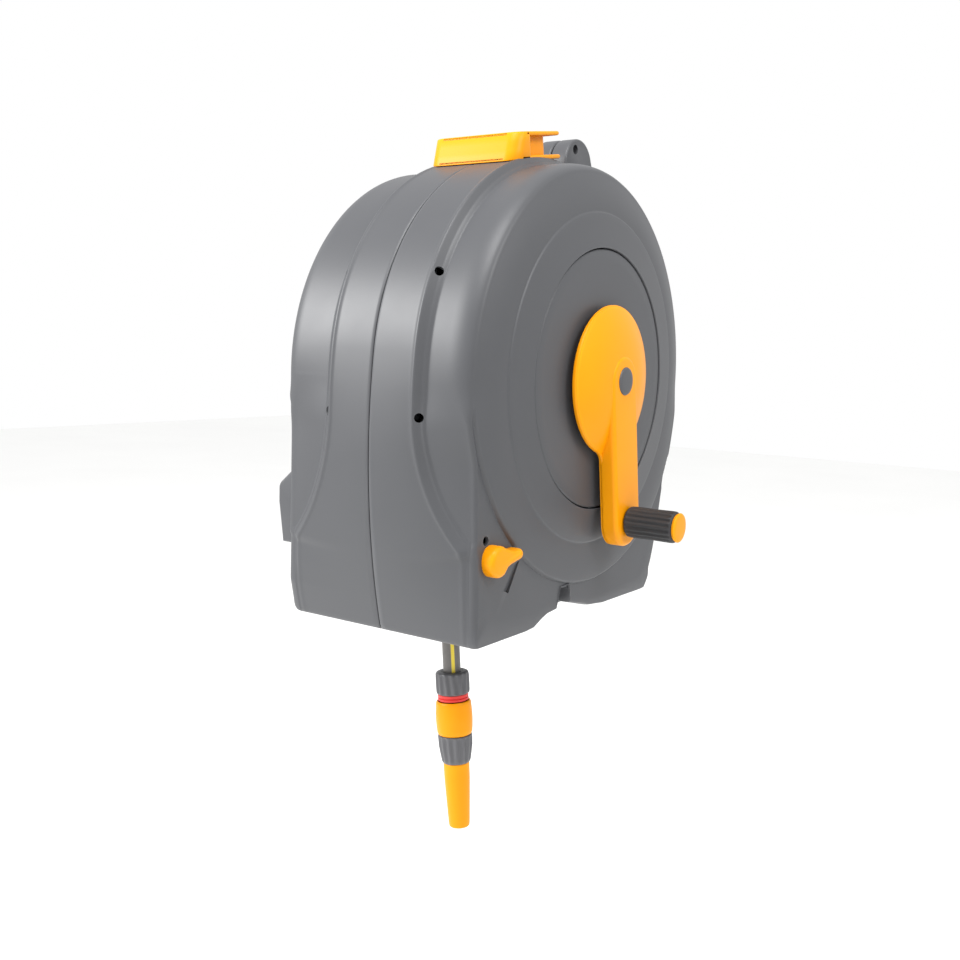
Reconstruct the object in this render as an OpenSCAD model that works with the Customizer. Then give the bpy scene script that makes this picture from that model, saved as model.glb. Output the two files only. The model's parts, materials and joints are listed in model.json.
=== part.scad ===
// Wall mounted hose reel: a two-part case swings on a wall bracket and holds a cranked drum of hose.
// The wall is the plane Y = 0. The drum axis runs along X at height 0. All sizes are millimetres.

/* [Place on the wall] */
// Wall to the upright swing axis
wall_to_hinge = 80; // [70:1:120]
// Swing axis to the drum axis
hinge_reach = 180; // [170:1:200]

/* [Case] */
// Half the width of the case across its base
case_half_w = 98; // [94:0.5:110]
// Thickness of the case walls
wall = 4; // [3:0.1:4.5]
// Radius of the raised centre band
band_r = 212; // [206:0.5:220]
// Half the width of the centre band
band_half_w = 47; // [40:1:55]
// Step from the band down to the rounded body beside it
band_step = 8.5; // [7.5:0.5:9]
// Forward reach of the front panel beyond the band
front_bulge = 3; // [0.5:0.5:12]
// Radius of the gentle bow of the front panel, seen from the side
front_arc_r = 700; // [500:10:1200]
// Depth from the band to the upright front of the body beside it
shoulder_in = 19; // [14:1:28]
// Height at which the band starts to flare into the front panel
flare_top = -20; // [-40:1:0]
// Radius of the flare
flare_r = 191; // [170:1:220]
// Drop from the drum axis to the bottom of the base
base_drop = 230; // [226:0.5:245]
// Room between the rear of the base and the swing axis
hinge_room = 30; // [24:1:40]
// Bevel of the lower rear corner of the base
rear_bevel = 18; // [5:1:25]
// Width of the side skirt that has the notch
skirt_w = 18; // [10:1:24]
// Height of the skirt notch above the base
notch_h = 32; // [15:1:34]
// Place of the skirt notch ahead of the drum axis
notch_front = 54; // [50:1:60]
// Width of the skirt notch
notch_w = 17; // [10:1:24]

/* [Side domes and covers] */
// Drop of the chamfer round the side of the case
shoulder_drop = 4; // [2:0.5:8]
// Width of that chamfer
shoulder_w = 4; // [2:0.5:12]
// Radius of the step ring on the dome
ring_r = 159; // [150:1:165]
// Rise of the dome from the side of the case to the step ring
ring_rise = 9.5; // [6:0.5:11]
// Radius of the round side cover
cover_r = 125; // [115:1:135]
// Rise of the dome from the side of the case to the cover
cover_rise = 15.7; // [13:0.1:20]
// Thickness of the side covers
cover_t = 4; // [3:0.5:5]
// Width of the ledge that carries a cover
ledge_w = 8; // [5:0.5:12]
// Thickness of that ledge
ledge_t = 3; // [2:0.5:4]
// Gap round a cover
cover_gap = 0.6; // [0.3:0.1:1]

/* [Hump and hinge knuckles] */
// Half the width of the hump and of the hinge tongue
hump_half_w = 20; // [18.5:0.5:26]
// Radius of the rounded hump
hump_r = 28; // [24:1:32]
// Place of the hump behind the drum axis
hump_y = 98; // [90:1:105]
// Height of the hump's centre above the band
hump_rise = 10; // [6:1:16]
// Radius of the hole across the hump
hump_hole_r = 5; // [3:0.5:6]
// Place of that hole behind the drum axis
hump_hole_y = 89; // [82:1:95]
// Height of that hole above the band
hump_hole_rise = 26; // [22:1:30]
// Drop from the top of the band to the underside of the upper knuckle
knuckle_drop = 22; // [16:0.5:24]
// Height of the upper knuckle
knuckle_h = 32; // [26:1:36]
// Radius of the knuckles
knuckle_r = 18; // [16:0.5:20]
// Thickness of the hinge tongue at the base
tongue_t = 22; // [16:1:24]

/* [Wall bracket] */
// Half the width of the wall plate
plate_half_w = 25; // [22:1:40]
// Top of the wall plate above the drum axis
plate_top = 170; // [160:1:180]
// Bottom of the wall plate below the drum axis
plate_low = 185; // [165:1:200]
// Thickness of the wall plate
plate_t = 6; // [4:0.5:10]
// Spacing of the wall bolts across
bolt_dx = 30; // [24:1:34]
// Spacing of the wall bolts up and down
bolt_dz = 300; // [260:5:305]
// Radius of the wall bolt holes
bolt_hole_r = 4; // [2.5:0.25:5]
// Height of a hinge eye
eye_h = 17; // [12:0.5:18]
// Radius of a hinge eye
eye_r = 17; // [14:0.5:18]
// Half the thickness of the bracket arms
arm_half_t = 7; // [5:0.5:10]
// Height of an arm where it meets the wall plate
arm_root_h = 70; // [40:1:90]
// Radius of the hinge pins
pin_r = 6; // [5:0.25:7]
// Radius of a hinge pin's head
pin_head_r = 9; // [8:0.5:11]
// Thickness of a hinge pin's head
pin_head_t = 3; // [2:0.5:4]
// Wall thickness of the bushes
bush_t = 2; // [1.5:0.25:3]
// Radial running clearance in the bushes
run_gap = 0.05; // [0.02:0.01:0.1]
// Gap between faces that turn past each other
face_gap = 1; // [0.5:0.1:2]

/* [Carry handle] */
// Half the width of the carry handle
handle_half_w = 51; // [44:1:56]
// Reach of the handle ahead of the middle of its seat
handle_front = 34; // [28:1:40]
// Reach of the handle behind the middle of its seat
handle_back = 52; // [46:1:60]
// Height of the handle
handle_h = 26; // [22:1:30]
// Thickness of the top and bottom plates of the handle
handle_plate = 4; // [3:0.5:6]
// Half the width of the web between those plates
handle_web = 30; // [20:1:36]
// Length of the full width block at the front of the handle
handle_block = 32; // [26:1:40]
// Lean of the handle's front face towards the rear
handle_lean = 11; // [4:1:14]
// Overhang of the plates behind the web
handle_lip = 16; // [8:1:24]
// Slope of the handle, rising to the rear
handle_slope = 10; // [5:1:14]
// Depth of the flat seat cut in the band
seat_depth = 3; // [1.5:0.5:3.5]
// Radius of the handle's screws
handle_screw_r = 2.5; // [2:0.25:3]
// Spacing of the handle's screws
handle_screw_dx = 40; // [24:1:50]
// Length of the handle's screws below the seat
handle_screw_l = 12; // [8:1:16]

/* [Case screws] */
// Radius of the case screws' heads
screw_r = 3.5; // [2.5:0.25:3.75]
// Length of a case screw
screw_l = 22; // [14:1:28]
// Wall round a band screw
boss_wall = 1.5; // [1:0.25:1.75]
// Radius of the boss round a corner screw
boss_r = 8; // [6:0.5:10]
// Depth at which a case screw's head lies in its hole
screw_sink = 1.5; // [0.5:0.25:3]
// Depth of the band screws' middles below the band
band_screw_in = 5.5; // [5:0.5:7.5]
// Angles of the band screws, from the front upwards
band_screw_angles = [26, -9]; // [-30:1:40]
// Depth of the corner screw behind the upright front
corner_screw_in = 16; // [12:1:20]
// Drop of the corner screw
corner_screw_z = 126; // [118:1:130]

/* [Drum] */
// Radius of the drum's barrel
barrel_r = 70; // [60:1:76]
// Thickness of the drum's walls
drum_t = 5; // [4:0.5:6]
// Room between the drum's flanges and the body round them
flange_room = 17.5; // [14:0.5:21]
// Room from the left flange's inner face to the side of the case
left_room = 21; // [19:0.5:23]
// Room from the right flange's inner face to the side of the case
right_room = 26; // [24:0.5:28]
// Radius of the axle and of the crank shaft
axle_r = 12; // [10:0.5:14]
// Bore of the water axle
axle_bore_r = 6; // [4:0.5:7]
// Length of crank shaft past the cover
shaft_out = 20; // [14:1:22]
// Radius of the holes that lighten a flange
window_r = 22; // [14:1:26]
// Radius at which those holes lie
window_at = 112; // [105:1:120]
// Number of those holes
window_n = 6; // [3:1:8]

/* [Wound hose] */
// Outside diameter of the hose
hose_d = 17.5; // [15:0.5:18]
// Distance between neighbouring turns
hose_pitch = 18.2; // [18:0.1:19]
// Depth of the lower layers of hose below the flanges' rims
core_in = 46; // [42:1:56]
// Gap from the winding to the flanges and to the core
wind_gap = 0.6; // [0.4:0.1:1.5]

/* [Hose outlet] */
// Place of the hanging hose ahead of the drum axis
hose_y = 85; // [80:1:90]
// Half the travel of the hose guide
guide_travel = 40; // [20:1:44]
// Half the width of the hose slot in the floor, front to back
slot_half_w = 14; // [12:0.5:16]
// Lean of the hanging nozzle to the crank side
nozzle_lean = 5.5; // [0:0.5:8]

/* [Hose guide] */
// Place of the layering screw ahead of the drum axis
layer_y = 58; // [54:1:60]
// Radius of the layering screw
layer_r = 6; // [5:0.25:7]
// Place of the guide rod ahead of the drum axis
rod_y = 115; // [113:1:120]
// Radius of the guide rod
rod_r = 5; // [4:0.25:6]
// Half the width of the guide carriage
carriage_half_w = 22; // [20:0.5:26]
// Height of the guide carriage
carriage_h = 26; // [24:0.5:30]
// Wall of the carriage round its bores
carriage_wall = 5; // [4:0.5:6]
// Sliding clearance of the carriage
slide_gap = 0.1; // [0.05:0.05:0.3]
// Radius of the guide rollers
roller_r = 4; // [3:0.25:4.25]
// Radius of the guide rollers' pins
roller_pin_r = 2; // [1.5:0.25:2.5]
// Depth of the reversing groove of the layering screw
groove_d = 1; // [0.5:0.25:1.5]
// Turns of that groove
groove_n = 9; // [5:1:12]
// Width of that groove
groove_w = 4; // [2:0.5:5]

/* [Gears] */
// Module of the gears
gear_m = 2; // [1.8:0.05:2]
// Teeth of the drum gear
drum_teeth = 36; // [32:4:40]
// Teeth of the idler gear
idler_teeth = 68; // [64:2:68]
// Teeth of the layering gear
layer_teeth = 28; // [26:2:30]
// Width of the gears
gear_w = 8; // [6:0.5:9]
// Gap from the flange to the gears
gear_gap = 3; // [2:0.5:4]
// Radius of the idler's pin
idler_pin_r = 6; // [4:0.5:8]

/* [Crank] */
// Radius of the crank's round plate
crank_r = 72; // [64:1:78]
// Thickness of the crank at its arm and at the middle of its plate
crank_t = 18; // [16:1:20]
// Thickness of the round plate at its rim
crank_rim = 4; // [3:0.5:6]
// Radius of the flat middle of the round plate
crank_flat_r = 27; // [24:1:34]
// Gap from the cover to the crank
crank_gap = 6; // [3:0.5:8]
// Lean of the crank arm to the rear
crank_lean = 9; // [0:1:20]
// Half the width of the crank arm
crank_arm_half_w = 23; // [20:1:26]
// Wall of the crank round its hollow back
crank_wall = 4; // [3:0.5:5]
// Radius of the button over the crank's screw
button_r = 13.5; // [12:0.5:16]
// Thickness of that button
button_t = 3; // [2:0.5:4]
// Distance of the grip's axis from the drum axis
grip_reach = 140; // [130:1:146]
// Radius of the grip
grip_r = 15.5; // [13:0.5:18]
// Length of the grip
grip_l = 51; // [45:1:70]
// Radius of the grip's pin
grip_pin_r = 5; // [4:0.5:6]
// Thickness of the grip's end disc
grip_cap_t = 3; // [2:0.5:4]

/* [Brake] */
// Depth of the brake lever's pivot behind the upright front
brake_in = 23; // [21:1:25]
// Drop of the brake lever's pivot
brake_z = 155; // [152:1:158]
// Radius of the brake lever's hub
brake_hub_r = 15; // [12:0.5:16]
// Length of the brake lever's nose
brake_nose = 38; // [30:1:42]
// Thickness of the brake lever
brake_t = 16; // [12:1:20]
// Radius of the brake lever's spindle
brake_pin_r = 6; // [5:0.5:7]
// Radius of the brake cam
cam_r = 9; // [8:0.5:10]
// Offset of the brake cam
cam_off = 1.8; // [1.5:0.1:2]
// Gap from the released brake shoe to the flange
shoe_gap = 2.5; // [2.4:0.1:4]
// Half the width of the brake shoe
shoe_half_w = 14.5; // [14:0.5:15]
// Thickness of the brake shoe along the drum axis
shoe_t = 10; // [8:1:12]

/* [Water inlet] */
// Width of the inlet hood off the side of the case
hood_w = 35; // [30:1:40]
// Depth of the hood's front behind the upright front
hood_in = 3; // [2:1:7]
// Depth of the hood from front to back
hood_d = 44; // [40:1:50]
// Drop to the hood's open bottom
hood_low = 165; // [155:1:175]
// Height of the hood
hood_h = 86; // [75:1:95]
// Slope height of the hood's top
hood_slope = 30; // [15:1:40]
// Wall of the hood
hood_t = 3; // [2:0.5:4]
// Radius of the inlet spigot
spigot_r = 8; // [6:0.5:9]
// Bore radius of the inlet spigot
spigot_bore_r = 4.5; // [3:0.5:5]
// Height of the inlet spigot's elbow above its end
spigot_l = 46; // [36:1:56]
// Length of the spigot's nose that a connector slides on
spigot_nose = 28; // [20:1:30]
// Radius of the spigot above that nose
spigot_body_r = 9.5; // [9:0.5:10]
// Radius of the spigot's collar
spigot_collar_r = 11; // [10:0.5:13]
// Thickness of the spigot's collar
spigot_collar_t = 4; // [3:0.5:6]
// Radius of the feed pipe
feed_r = 4.5; // [3.5:0.25:4.75]
// Depth of the feed pipe's plane inside the side of the case
feed_in = 9; // [8.75:0.25:10]
// Radius of the swivel housing
swivel_r = 24; // [20:1:28]
// Thickness of the seals
seal_t = 2; // [1.5:0.25:3]

/* [Hose connector and nozzle] */
// Drop of the connector's top
nut_top = 292; // [280:1:300]
// Length of the ribbed nut
nut_l = 22; // [16:1:26]
// Radius of the ribbed nut
nut_r = 17; // [15:0.5:19]
// Length of the red seal ring
seal_ring_l = 7; // [5:0.5:10]
// Radius of the red seal ring
seal_ring_r = 15.5; // [14:0.5:16]
// Length of the release collar
collar_l = 34; // [30:1:40]
// Radius of the release collar
collar_r = 18.5; // [17:0.5:20]
// Travel of the release collar
collar_travel = 4; // [2:0.5:5]
// Radius of the connector's core
connector_r = 11; // [10:0.5:12]
// Length of the ribbed barrel of the nozzle
nozzle_barrel_l = 28; // [22:1:34]
// Radius of the ribbed barrel at its top
nozzle_barrel_r = 17.5; // [15:0.5:19]
// Length of the spout
spout_l = 66; // [55:1:80]
// Radius of the spout at its root
spout_root_r = 13; // [11:0.5:14]
// Radius of the spout at its tip
spout_tip_r = 9.5; // [8:0.5:11]
// Radius of the water way through the nozzle
water_r = 5; // [3:0.5:6]
// Gap between the pieces of the nozzle
nozzle_gap = 0.3; // [0.2:0.1:0.6]
// Number of grip ribs round the nut and the nozzle
rib_n = 20; // [12:1:28]
// Depth of those ribs
rib_d = 1.2; // [0.8:0.1:1.6]

/* [Hidden] */
$fn = 96;

// Overrun of every cut past the face that it opens
over = 1;
case_grey = "#6e6f72";
bright_orange = "#fdb417";
soft_black = "#2b2a2c";
steel_grey = "#b9bcc0";
drum_grey = "#8c8f93";
hose_grey = "#77777a";
signal_red = "#e8382f";

axle_to_wall = wall_to_hinge + hinge_reach;
front_reach = band_r + front_bulge;
shoulder_front = band_r - shoulder_in;
base_rear = hinge_reach - hinge_room;
corner_screw_y = shoulder_front - corner_screw_in;
brake_y = shoulder_front - brake_in;
hood_front = shoulder_front - hood_in;
hood_back = hood_front - hood_d;
// Middle of the front panel's bow, lowered a little so that it crosses the band's circle cleanly
bow_cross = 6;
bow_y = front_arc_r - front_reach;
bow_z = -sqrt((front_arc_r - band_r) ^ 2 - bow_y ^ 2) - bow_cross;
bow_meet = -band_r * bow_z / norm([bow_y, bow_z]);
// Share of the circle's radius at which a straight wall dips into the circle
meet_share = 0.985;
shoulder_r = band_r - band_step;
shoulder_x = case_half_w - shoulder_w;
dome_r = shoulder_r - shoulder_drop;
flange_r = shoulder_r - flange_room;
core_r = flange_r - core_in;
ring_x = case_half_w + ring_rise;
cover_x = case_half_w + cover_rise;
skirt_inner = case_half_w - skirt_w;
feed_x = case_half_w - feed_in;
left_face = case_half_w - left_room;
right_face = case_half_w - right_room;
hump_z = band_r + hump_rise;
hump_hole_z = band_r + hump_hole_rise;
knuckle_z = band_r - knuckle_drop;
band_screw_r = band_r - band_screw_in;

// The gear train lies on one line from the drum axis to the layering screw
layer_at = gear_m * (drum_teeth / 2 + idler_teeth + layer_teeth / 2);
layer_z = -sqrt(layer_at ^ 2 - layer_y ^ 2);
train_angle = atan2(layer_z, -layer_y);
idler_at = gear_m * (drum_teeth + idler_teeth) / 2;
// Shares of a tooth's pitch at the root and at the tip, and of the module above and below the pitch line
tooth_root_share = 0.3;
tooth_tip_share = 0.12;
tooth_up_share = 0.85;
tooth_down_share = 1.15;
left_back = left_face + drum_t;
right_back = right_face + drum_t;
gear_x = right_back + gear_gap;
inner_x = case_half_w - wall;
cover_back = cover_x - cover_t;
// Length of the bearing bosses on the covers
hub_l = 12.7;
hub_r = 22;
hub_x = cover_back - hub_l;
axle_gap = 0.3;
bush_r = axle_r + bush_t;
// Radius of the pipe that feeds the hose inside the barrel
spur_r = axle_r - drum_t / 2;
idler_shoulder_r = 10;
bearing_r = 10;
bearing_l = 8;

// The outer layer of hose
rings_per_turn = 24;
wind_r = (core_r + wind_gap + hose_d / 2) / cos(180 / rings_per_turn);
wind_room = left_face - wind_gap - hose_d / 2;
// Where the hose passes the guide, and where it leaves the winding towards it
guide_point = [-hose_y, layer_z];
leave_angle = 360 + atan2(guide_point[1], guide_point[0]) - acos(wind_r / norm(guide_point));
// Straight run of the wound hose beyond that point, clear of the hanging stretch
wind_run = sqrt((wind_r + hose_d + wind_gap) ^ 2 - wind_r ^ 2);
wind_rings = floor(rings_per_turn * wind_room / hose_pitch);
wind_turns = wind_rings / rings_per_turn;
wind_start = -wind_turns * hose_pitch;

// Route of the hanging hose from the winding to the connector: across, forward of the axle, height
tail_route = [
  [0, -110, -130], [0, -103, -147], [0, -96, -164], [0, -90, -180], [0, -87, -196], [0, -85.5, -212],
  [0, -85, -228], [0.5, -85, -246], [2, -85, -262], [3.4, -85, -277], [4.8, -85, -291.7]
];
nut_x = tail_route[len(tail_route) - 1][0];

crank_x = cover_x + crank_gap;
crank_face = crank_x + crank_t;
shaft_end = cover_x + shaft_out - over;
grip_start = crank_face + face_gap / 2;
grip_end = grip_start + grip_l;
// Step from the grip to its end disc
grip_cap_in = 1;
hub_cap_r = 8;
// Step from the faces of the crank arm to those of its plate
crank_step = 0.5;
crank_screw_r = 3;
crank_screw_l = 22;
crank_hub_r = 20;

brake_at = norm([brake_y, brake_z]);
brake_angle = atan2(-brake_z, -brake_y);
// Turn of the cam from the line to the axle when the brake is off
cam_turn = 110;
shoe_x = (right_face + right_back) / 2;
shoe_face = flange_r + shoe_gap;
cam_gap = 0.5;
// Share of the lever hub's radius at which the nose starts
lever_root_share = 0.8;
shoe_mid = brake_at - cam_off * cos(cam_turn);

hood_x = case_half_w + hood_w;
spigot_x = -(case_half_w + hood_w / 2);
spigot_y = -(hood_front + hood_back) / 2;
spigot_rise = 4;
spigot_low = spigot_rise - hood_low;
spigot_top = spigot_low + spigot_l;
swivel_gap = 0.3;
swivel_l = 11;

seat_r = band_r - seat_depth;
ring_low = -nut_l - seal_ring_l;
collar_top = ring_low - nozzle_gap;
collar_low = collar_top - collar_l;
barrel_top = collar_low - nozzle_gap;
barrel_low = barrel_top - nozzle_barrel_l;
barrel_low_r = 14;
barrel_cone = 8;
core_in_barrel = 8;
neck_r = 9;
neck_l = 12;
spout_top = barrel_low - nozzle_gap;
knuckle_top = knuckle_z + knuckle_h;
tongue_top = tongue_t - base_drop;
lower_eye_z = tongue_top + face_gap;
upper_eye_z = knuckle_z - face_gap - eye_h;

// Point where a line from p touches a circle round the axle, on the upper side
function touch(r, p) =
  let (a = atan2(p[1], p[0]) + acos(r / norm(p)))
  [r * cos(a), r * sin(a)];

module at_drum() translate([0, -axle_to_wall, 0]) children();
module rod_x(r, from, to) translate([from, 0, 0]) rotate([0, 90, 0]) cylinder(r = r, h = to - from);
module rod_z(r, from, to) translate([0, 0, from]) cylinder(r = r, h = to - from);
module tube_x(r_out, r_in, from, to) {
  difference() {
    rod_x(r_out, from, to);
    rod_x(r_in, from - over, to + over);
  }
}
module tube_z(r_out, r_in, from, to) {
  difference() {
    rod_z(r_out, from, to);
    rod_z(r_in, from - over, to + over);
  }
}
// Outlines drawn from the side (front to back, up) and from the front (across, up)
module side_view(from, to) translate([from, 0, 0]) rotate([90, 0, 90]) linear_extrude(to - from) children();
module spin_x(from) translate([from, 0, 0]) rotate([0, 90, 0]) rotate_extrude() children();
module front_view(from, to) translate([0, to, 0]) rotate([90, 0, 0]) linear_extrude(to - from) children();

// Case
module band_outline(i) {
  r = band_r - i;
  foot = [base_rear - i, rear_bevel - base_drop];
  circle(r);
  intersection() {
    translate([bow_y, bow_z]) circle(front_arc_r - i, $fn = 480);
    polygon([
      [-front_reach, bow_meet], [0, bow_meet], meet_share * touch(r, foot), foot,
      [base_rear - rear_bevel, i - base_drop], [-front_reach, i - base_drop]
    ]);
  }
}
module base_outline(i) {
  r = shoulder_r - i;
  front = shoulder_front - i;
  foot = [base_rear - i, rear_bevel - base_drop];
  polygon([
    [-front, -meet_share ^ 6 * sqrt(r ^ 2 - front ^ 2)], [0, 0], meet_share * touch(r, foot), foot,
    [base_rear - rear_bevel, i - base_drop], [-front, i - base_drop]
  ]);
}
module flare_outline(i) {
  w = case_half_w - i;
  band_w = band_half_w - i;
  translate([-band_w, i - base_drop]) square([2 * band_w, base_drop + band_r + over]);
  difference() {
    translate([-w, i - base_drop]) square([2 * w, base_drop - i + flare_top]);
    for (side = [-1, 1]) translate([side * (band_half_w + flare_r), flare_top]) circle(flare_r + i);
  }
}
module drum_outline(i) {
  polygon([
    [0, i - cover_x], [cover_r, i - cover_x], [ring_r - i, i - ring_x], [dome_r - i, i - case_half_w],
    [shoulder_r - i, i - shoulder_x], [shoulder_r - i, shoulder_x - i], [dome_r - i, case_half_w - i],
    [ring_r - i, ring_x - i], [cover_r, cover_x - i], [0, cover_x - i]
  ]);
}
module case_solid(i) {
  intersection() {
    side_view(i - case_half_w, case_half_w - i) band_outline(i);
    front_view(-front_reach - over, band_r + over) flare_outline(i);
  }
  side_view(i - case_half_w, case_half_w - i) base_outline(i);
  rotate([0, 90, 0]) rotate_extrude() drum_outline(i);
}
module hump_outline() {
  difference() {
    union() {
      translate([hump_y, hump_z]) circle(hump_r);
      polygon([
        [hump_y - hump_r, 0], [hump_y - hump_r, hump_z], [hump_y, hump_z], [hump_y, knuckle_top],
        [hinge_reach, knuckle_top], [hinge_reach, knuckle_z],
        [hinge_reach - knuckle_r - 2 * face_gap, knuckle_z],
        [hinge_reach - knuckle_r - 2 * face_gap, 0]
      ]);
    }
    circle(band_r - wall / 2);
  }
}
module band_screw_places() {
  for (a = band_screw_angles) translate([0, -band_screw_r * cos(a), band_screw_r * sin(a)]) children();
}
module corner_screw_place() translate([0, -corner_screw_y, -corner_screw_z]) children();
module skirt_cut() {
  lip = base_drop - notch_h;
  back = notch_w - notch_front;
  step_share = 0.34;
  polygon([
    [-notch_front * 2 + step_share * notch_w, -base_drop - over],
    [-notch_front, -lip - notch_h * (1 - step_share)],
    [-notch_front, -lip], [back, -lip], [back, -lip - notch_h / 2],
    [notch_front * (1 - step_share), -base_drop - over]
  ]);
}
// One half of the case, side 1 for the crank side and -1 for the inlet side
module case_half(side) {
  difference() {
    union() {
      difference() {
        intersection() {
          case_solid(0);
          translate([side > 0 ? 0 : -2 * cover_x, -2 * front_reach, -2 * base_drop])
            cube([2 * cover_x, 4 * front_reach, 4 * base_drop]);
        }
        case_solid(wall);
      }
      mirror([side > 0 ? 0 : 1, 0, 0]) {
        tube_x(cover_r + ledge_w, cover_r - ledge_w, cover_back - ledge_t, cover_back);
        band_screw_places() rod_x(screw_r + boss_wall, band_half_w - screw_l - wall, band_half_w - wall / 2);
        corner_screw_place() rod_x(boss_r, case_half_w - screw_l - wall, case_half_w - wall / 2);
        side_view(0, hump_half_w) hump_outline();
        intersection() {
          translate([0, hinge_reach, 0]) rod_z(knuckle_r, knuckle_z, knuckle_top);
          translate([0, 0, -2 * base_drop]) cube([knuckle_r, axle_to_wall, 4 * base_drop]);
        }
        intersection() {
          union() {
            translate([0, hinge_reach, 0]) rod_z(knuckle_r, -base_drop, tongue_top);
            translate([0, base_rear - rear_bevel - wall, -base_drop])
              cube([knuckle_r, hinge_reach - base_rear + rear_bevel + wall, tongue_t]);
          }
          translate([0, 0, -2 * base_drop]) cube([knuckle_r, axle_to_wall, 4 * base_drop]);
        }
      }
    }
    rod_x(cover_r - ledge_w, side * cover_back - cover_t - wall, side * cover_back + cover_t + wall);
    rod_x(cover_r + cover_gap, side > 0 ? cover_back : -cover_x - over,
      side > 0 ? cover_x + over : -cover_back);
    mirror([side > 0 ? 0 : 1, 0, 0]) {
      band_screw_places() rod_x(screw_r + slide_gap, band_half_w - screw_l - screw_sink, band_half_w + over);
      corner_screw_place() rod_x(screw_r + slide_gap, case_half_w - screw_l - screw_sink, case_half_w + over);
    }
    translate([0, hinge_reach, 0]) rod_z(pin_r + bush_t, -base_drop - over, tongue_top + over);
    translate([0, hinge_reach, 0]) rod_z(pin_r + bush_t, knuckle_z - over, knuckle_top + over);
    translate([0, hump_hole_y, hump_hole_z]) rod_x(hump_hole_r, -hump_half_w - over, hump_half_w + over);
    translate([-guide_travel - slot_half_w, -hose_y - slot_half_w, -base_drop - over])
      cube([2 * (guide_travel + slot_half_w), 2 * slot_half_w, wall + 2 * over]);
    for (s = [-1, 1]) {
      side_view(s > 0 ? skirt_inner : -case_half_w - over, s > 0 ? case_half_w + over : -skirt_inner)
        skirt_cut();
    }
    rotate([handle_slope, 0, 0]) {
      translate([-handle_half_w - over, -handle_front - over, seat_r])
        cube([2 * (handle_half_w + over), handle_front + handle_back + 2 * over, handle_h]);
      for (s = [-1, 1]) translate([s * handle_screw_dx / 2, 0, 0])
        rod_z(handle_screw_r + slide_gap, seat_r - handle_screw_l - over, seat_r + over);
    }
    if (side > 0) translate([0, -brake_y, -brake_z])
      rod_x(brake_pin_r + bush_t, inner_x - over, case_half_w + over);
    if (side < 0) translate([0, spigot_y, spigot_top])
      rod_x(feed_r + slide_gap, -case_half_w - over, -inner_x + over);
  }
}
module case_left() color(case_grey) at_drum() case_half(-1);
module case_right() color(case_grey) at_drum() case_half(1);

module cover(side) {
  mirror([side > 0 ? 0 : 1, 0, 0]) difference() {
    union() {
      rod_x(cover_r - cover_gap, cover_back, cover_x);
      rod_x(hub_r, hub_x, cover_x);
    }
    rod_x(bush_r, hub_x - over, side > 0 ? cover_x + over : cover_back);
  }
}
module cover_left() color(case_grey) at_drum() cover(-1);
module cover_right() color(case_grey) at_drum() cover(1);

module case_screws() {
  color(soft_black) at_drum() for (side = [-1, 1]) mirror([side > 0 ? 0 : 1, 0, 0]) {
    band_screw_places() rod_x(screw_r, band_half_w - screw_l - screw_sink, band_half_w - screw_sink);
    corner_screw_place() rod_x(screw_r, case_half_w - screw_l - screw_sink, case_half_w - screw_sink);
  }
}

// Wall bracket and swing hinge
module hinge_arm(eye_z, root_z) {
  translate([0, -wall_to_hinge, 0]) tube_z(eye_r, pin_r, eye_z, eye_z + eye_h);
  side_view(-arm_half_t, arm_half_t) polygon([
    [pin_head_r + face_gap - wall_to_hinge, eye_z], [pin_head_r + face_gap - wall_to_hinge, eye_z + eye_h],
    [-plate_t / 2, root_z + arm_root_h], [-plate_t / 2, root_z]
  ]);
}
module wall_bracket() {
  color(case_grey) {
    difference() {
      translate([-plate_half_w, -plate_t, -plate_low])
        cube([2 * plate_half_w, plate_t, plate_low + plate_top]);
      for (sx = [-1, 1], sz = [-1, 1]) translate([sx * bolt_dx / 2, over, sz * bolt_dz / 2])
        rotate([90, 0, 0]) cylinder(r = bolt_hole_r, h = plate_t + 2 * over);
    }
    hinge_arm(upper_eye_z, plate_top - arm_root_h);
    hinge_arm(lower_eye_z, -plate_low);
  }
}
module upper_hinge_pin() {
  color(steel_grey) translate([0, -wall_to_hinge, 0]) {
    rod_z(pin_r, upper_eye_z, knuckle_top + face_gap);
    rod_z(pin_head_r, upper_eye_z - pin_head_t, upper_eye_z);
  }
}
module lower_hinge_pin() {
  color(steel_grey) translate([0, -wall_to_hinge, 0]) {
    rod_z(pin_r, -base_drop, lower_eye_z + eye_h);
    rod_z(pin_head_r, lower_eye_z + eye_h, lower_eye_z + eye_h + pin_head_t);
  }
}
module upper_hinge_bush() {
  color(soft_black) translate([0, -wall_to_hinge, 0])
    tube_z(pin_r + bush_t, pin_r + run_gap, knuckle_z, knuckle_top);
}
module lower_hinge_bush() {
  color(soft_black) translate([0, -wall_to_hinge, 0])
    tube_z(pin_r + bush_t, pin_r + run_gap, -base_drop, tongue_top);
}

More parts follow.
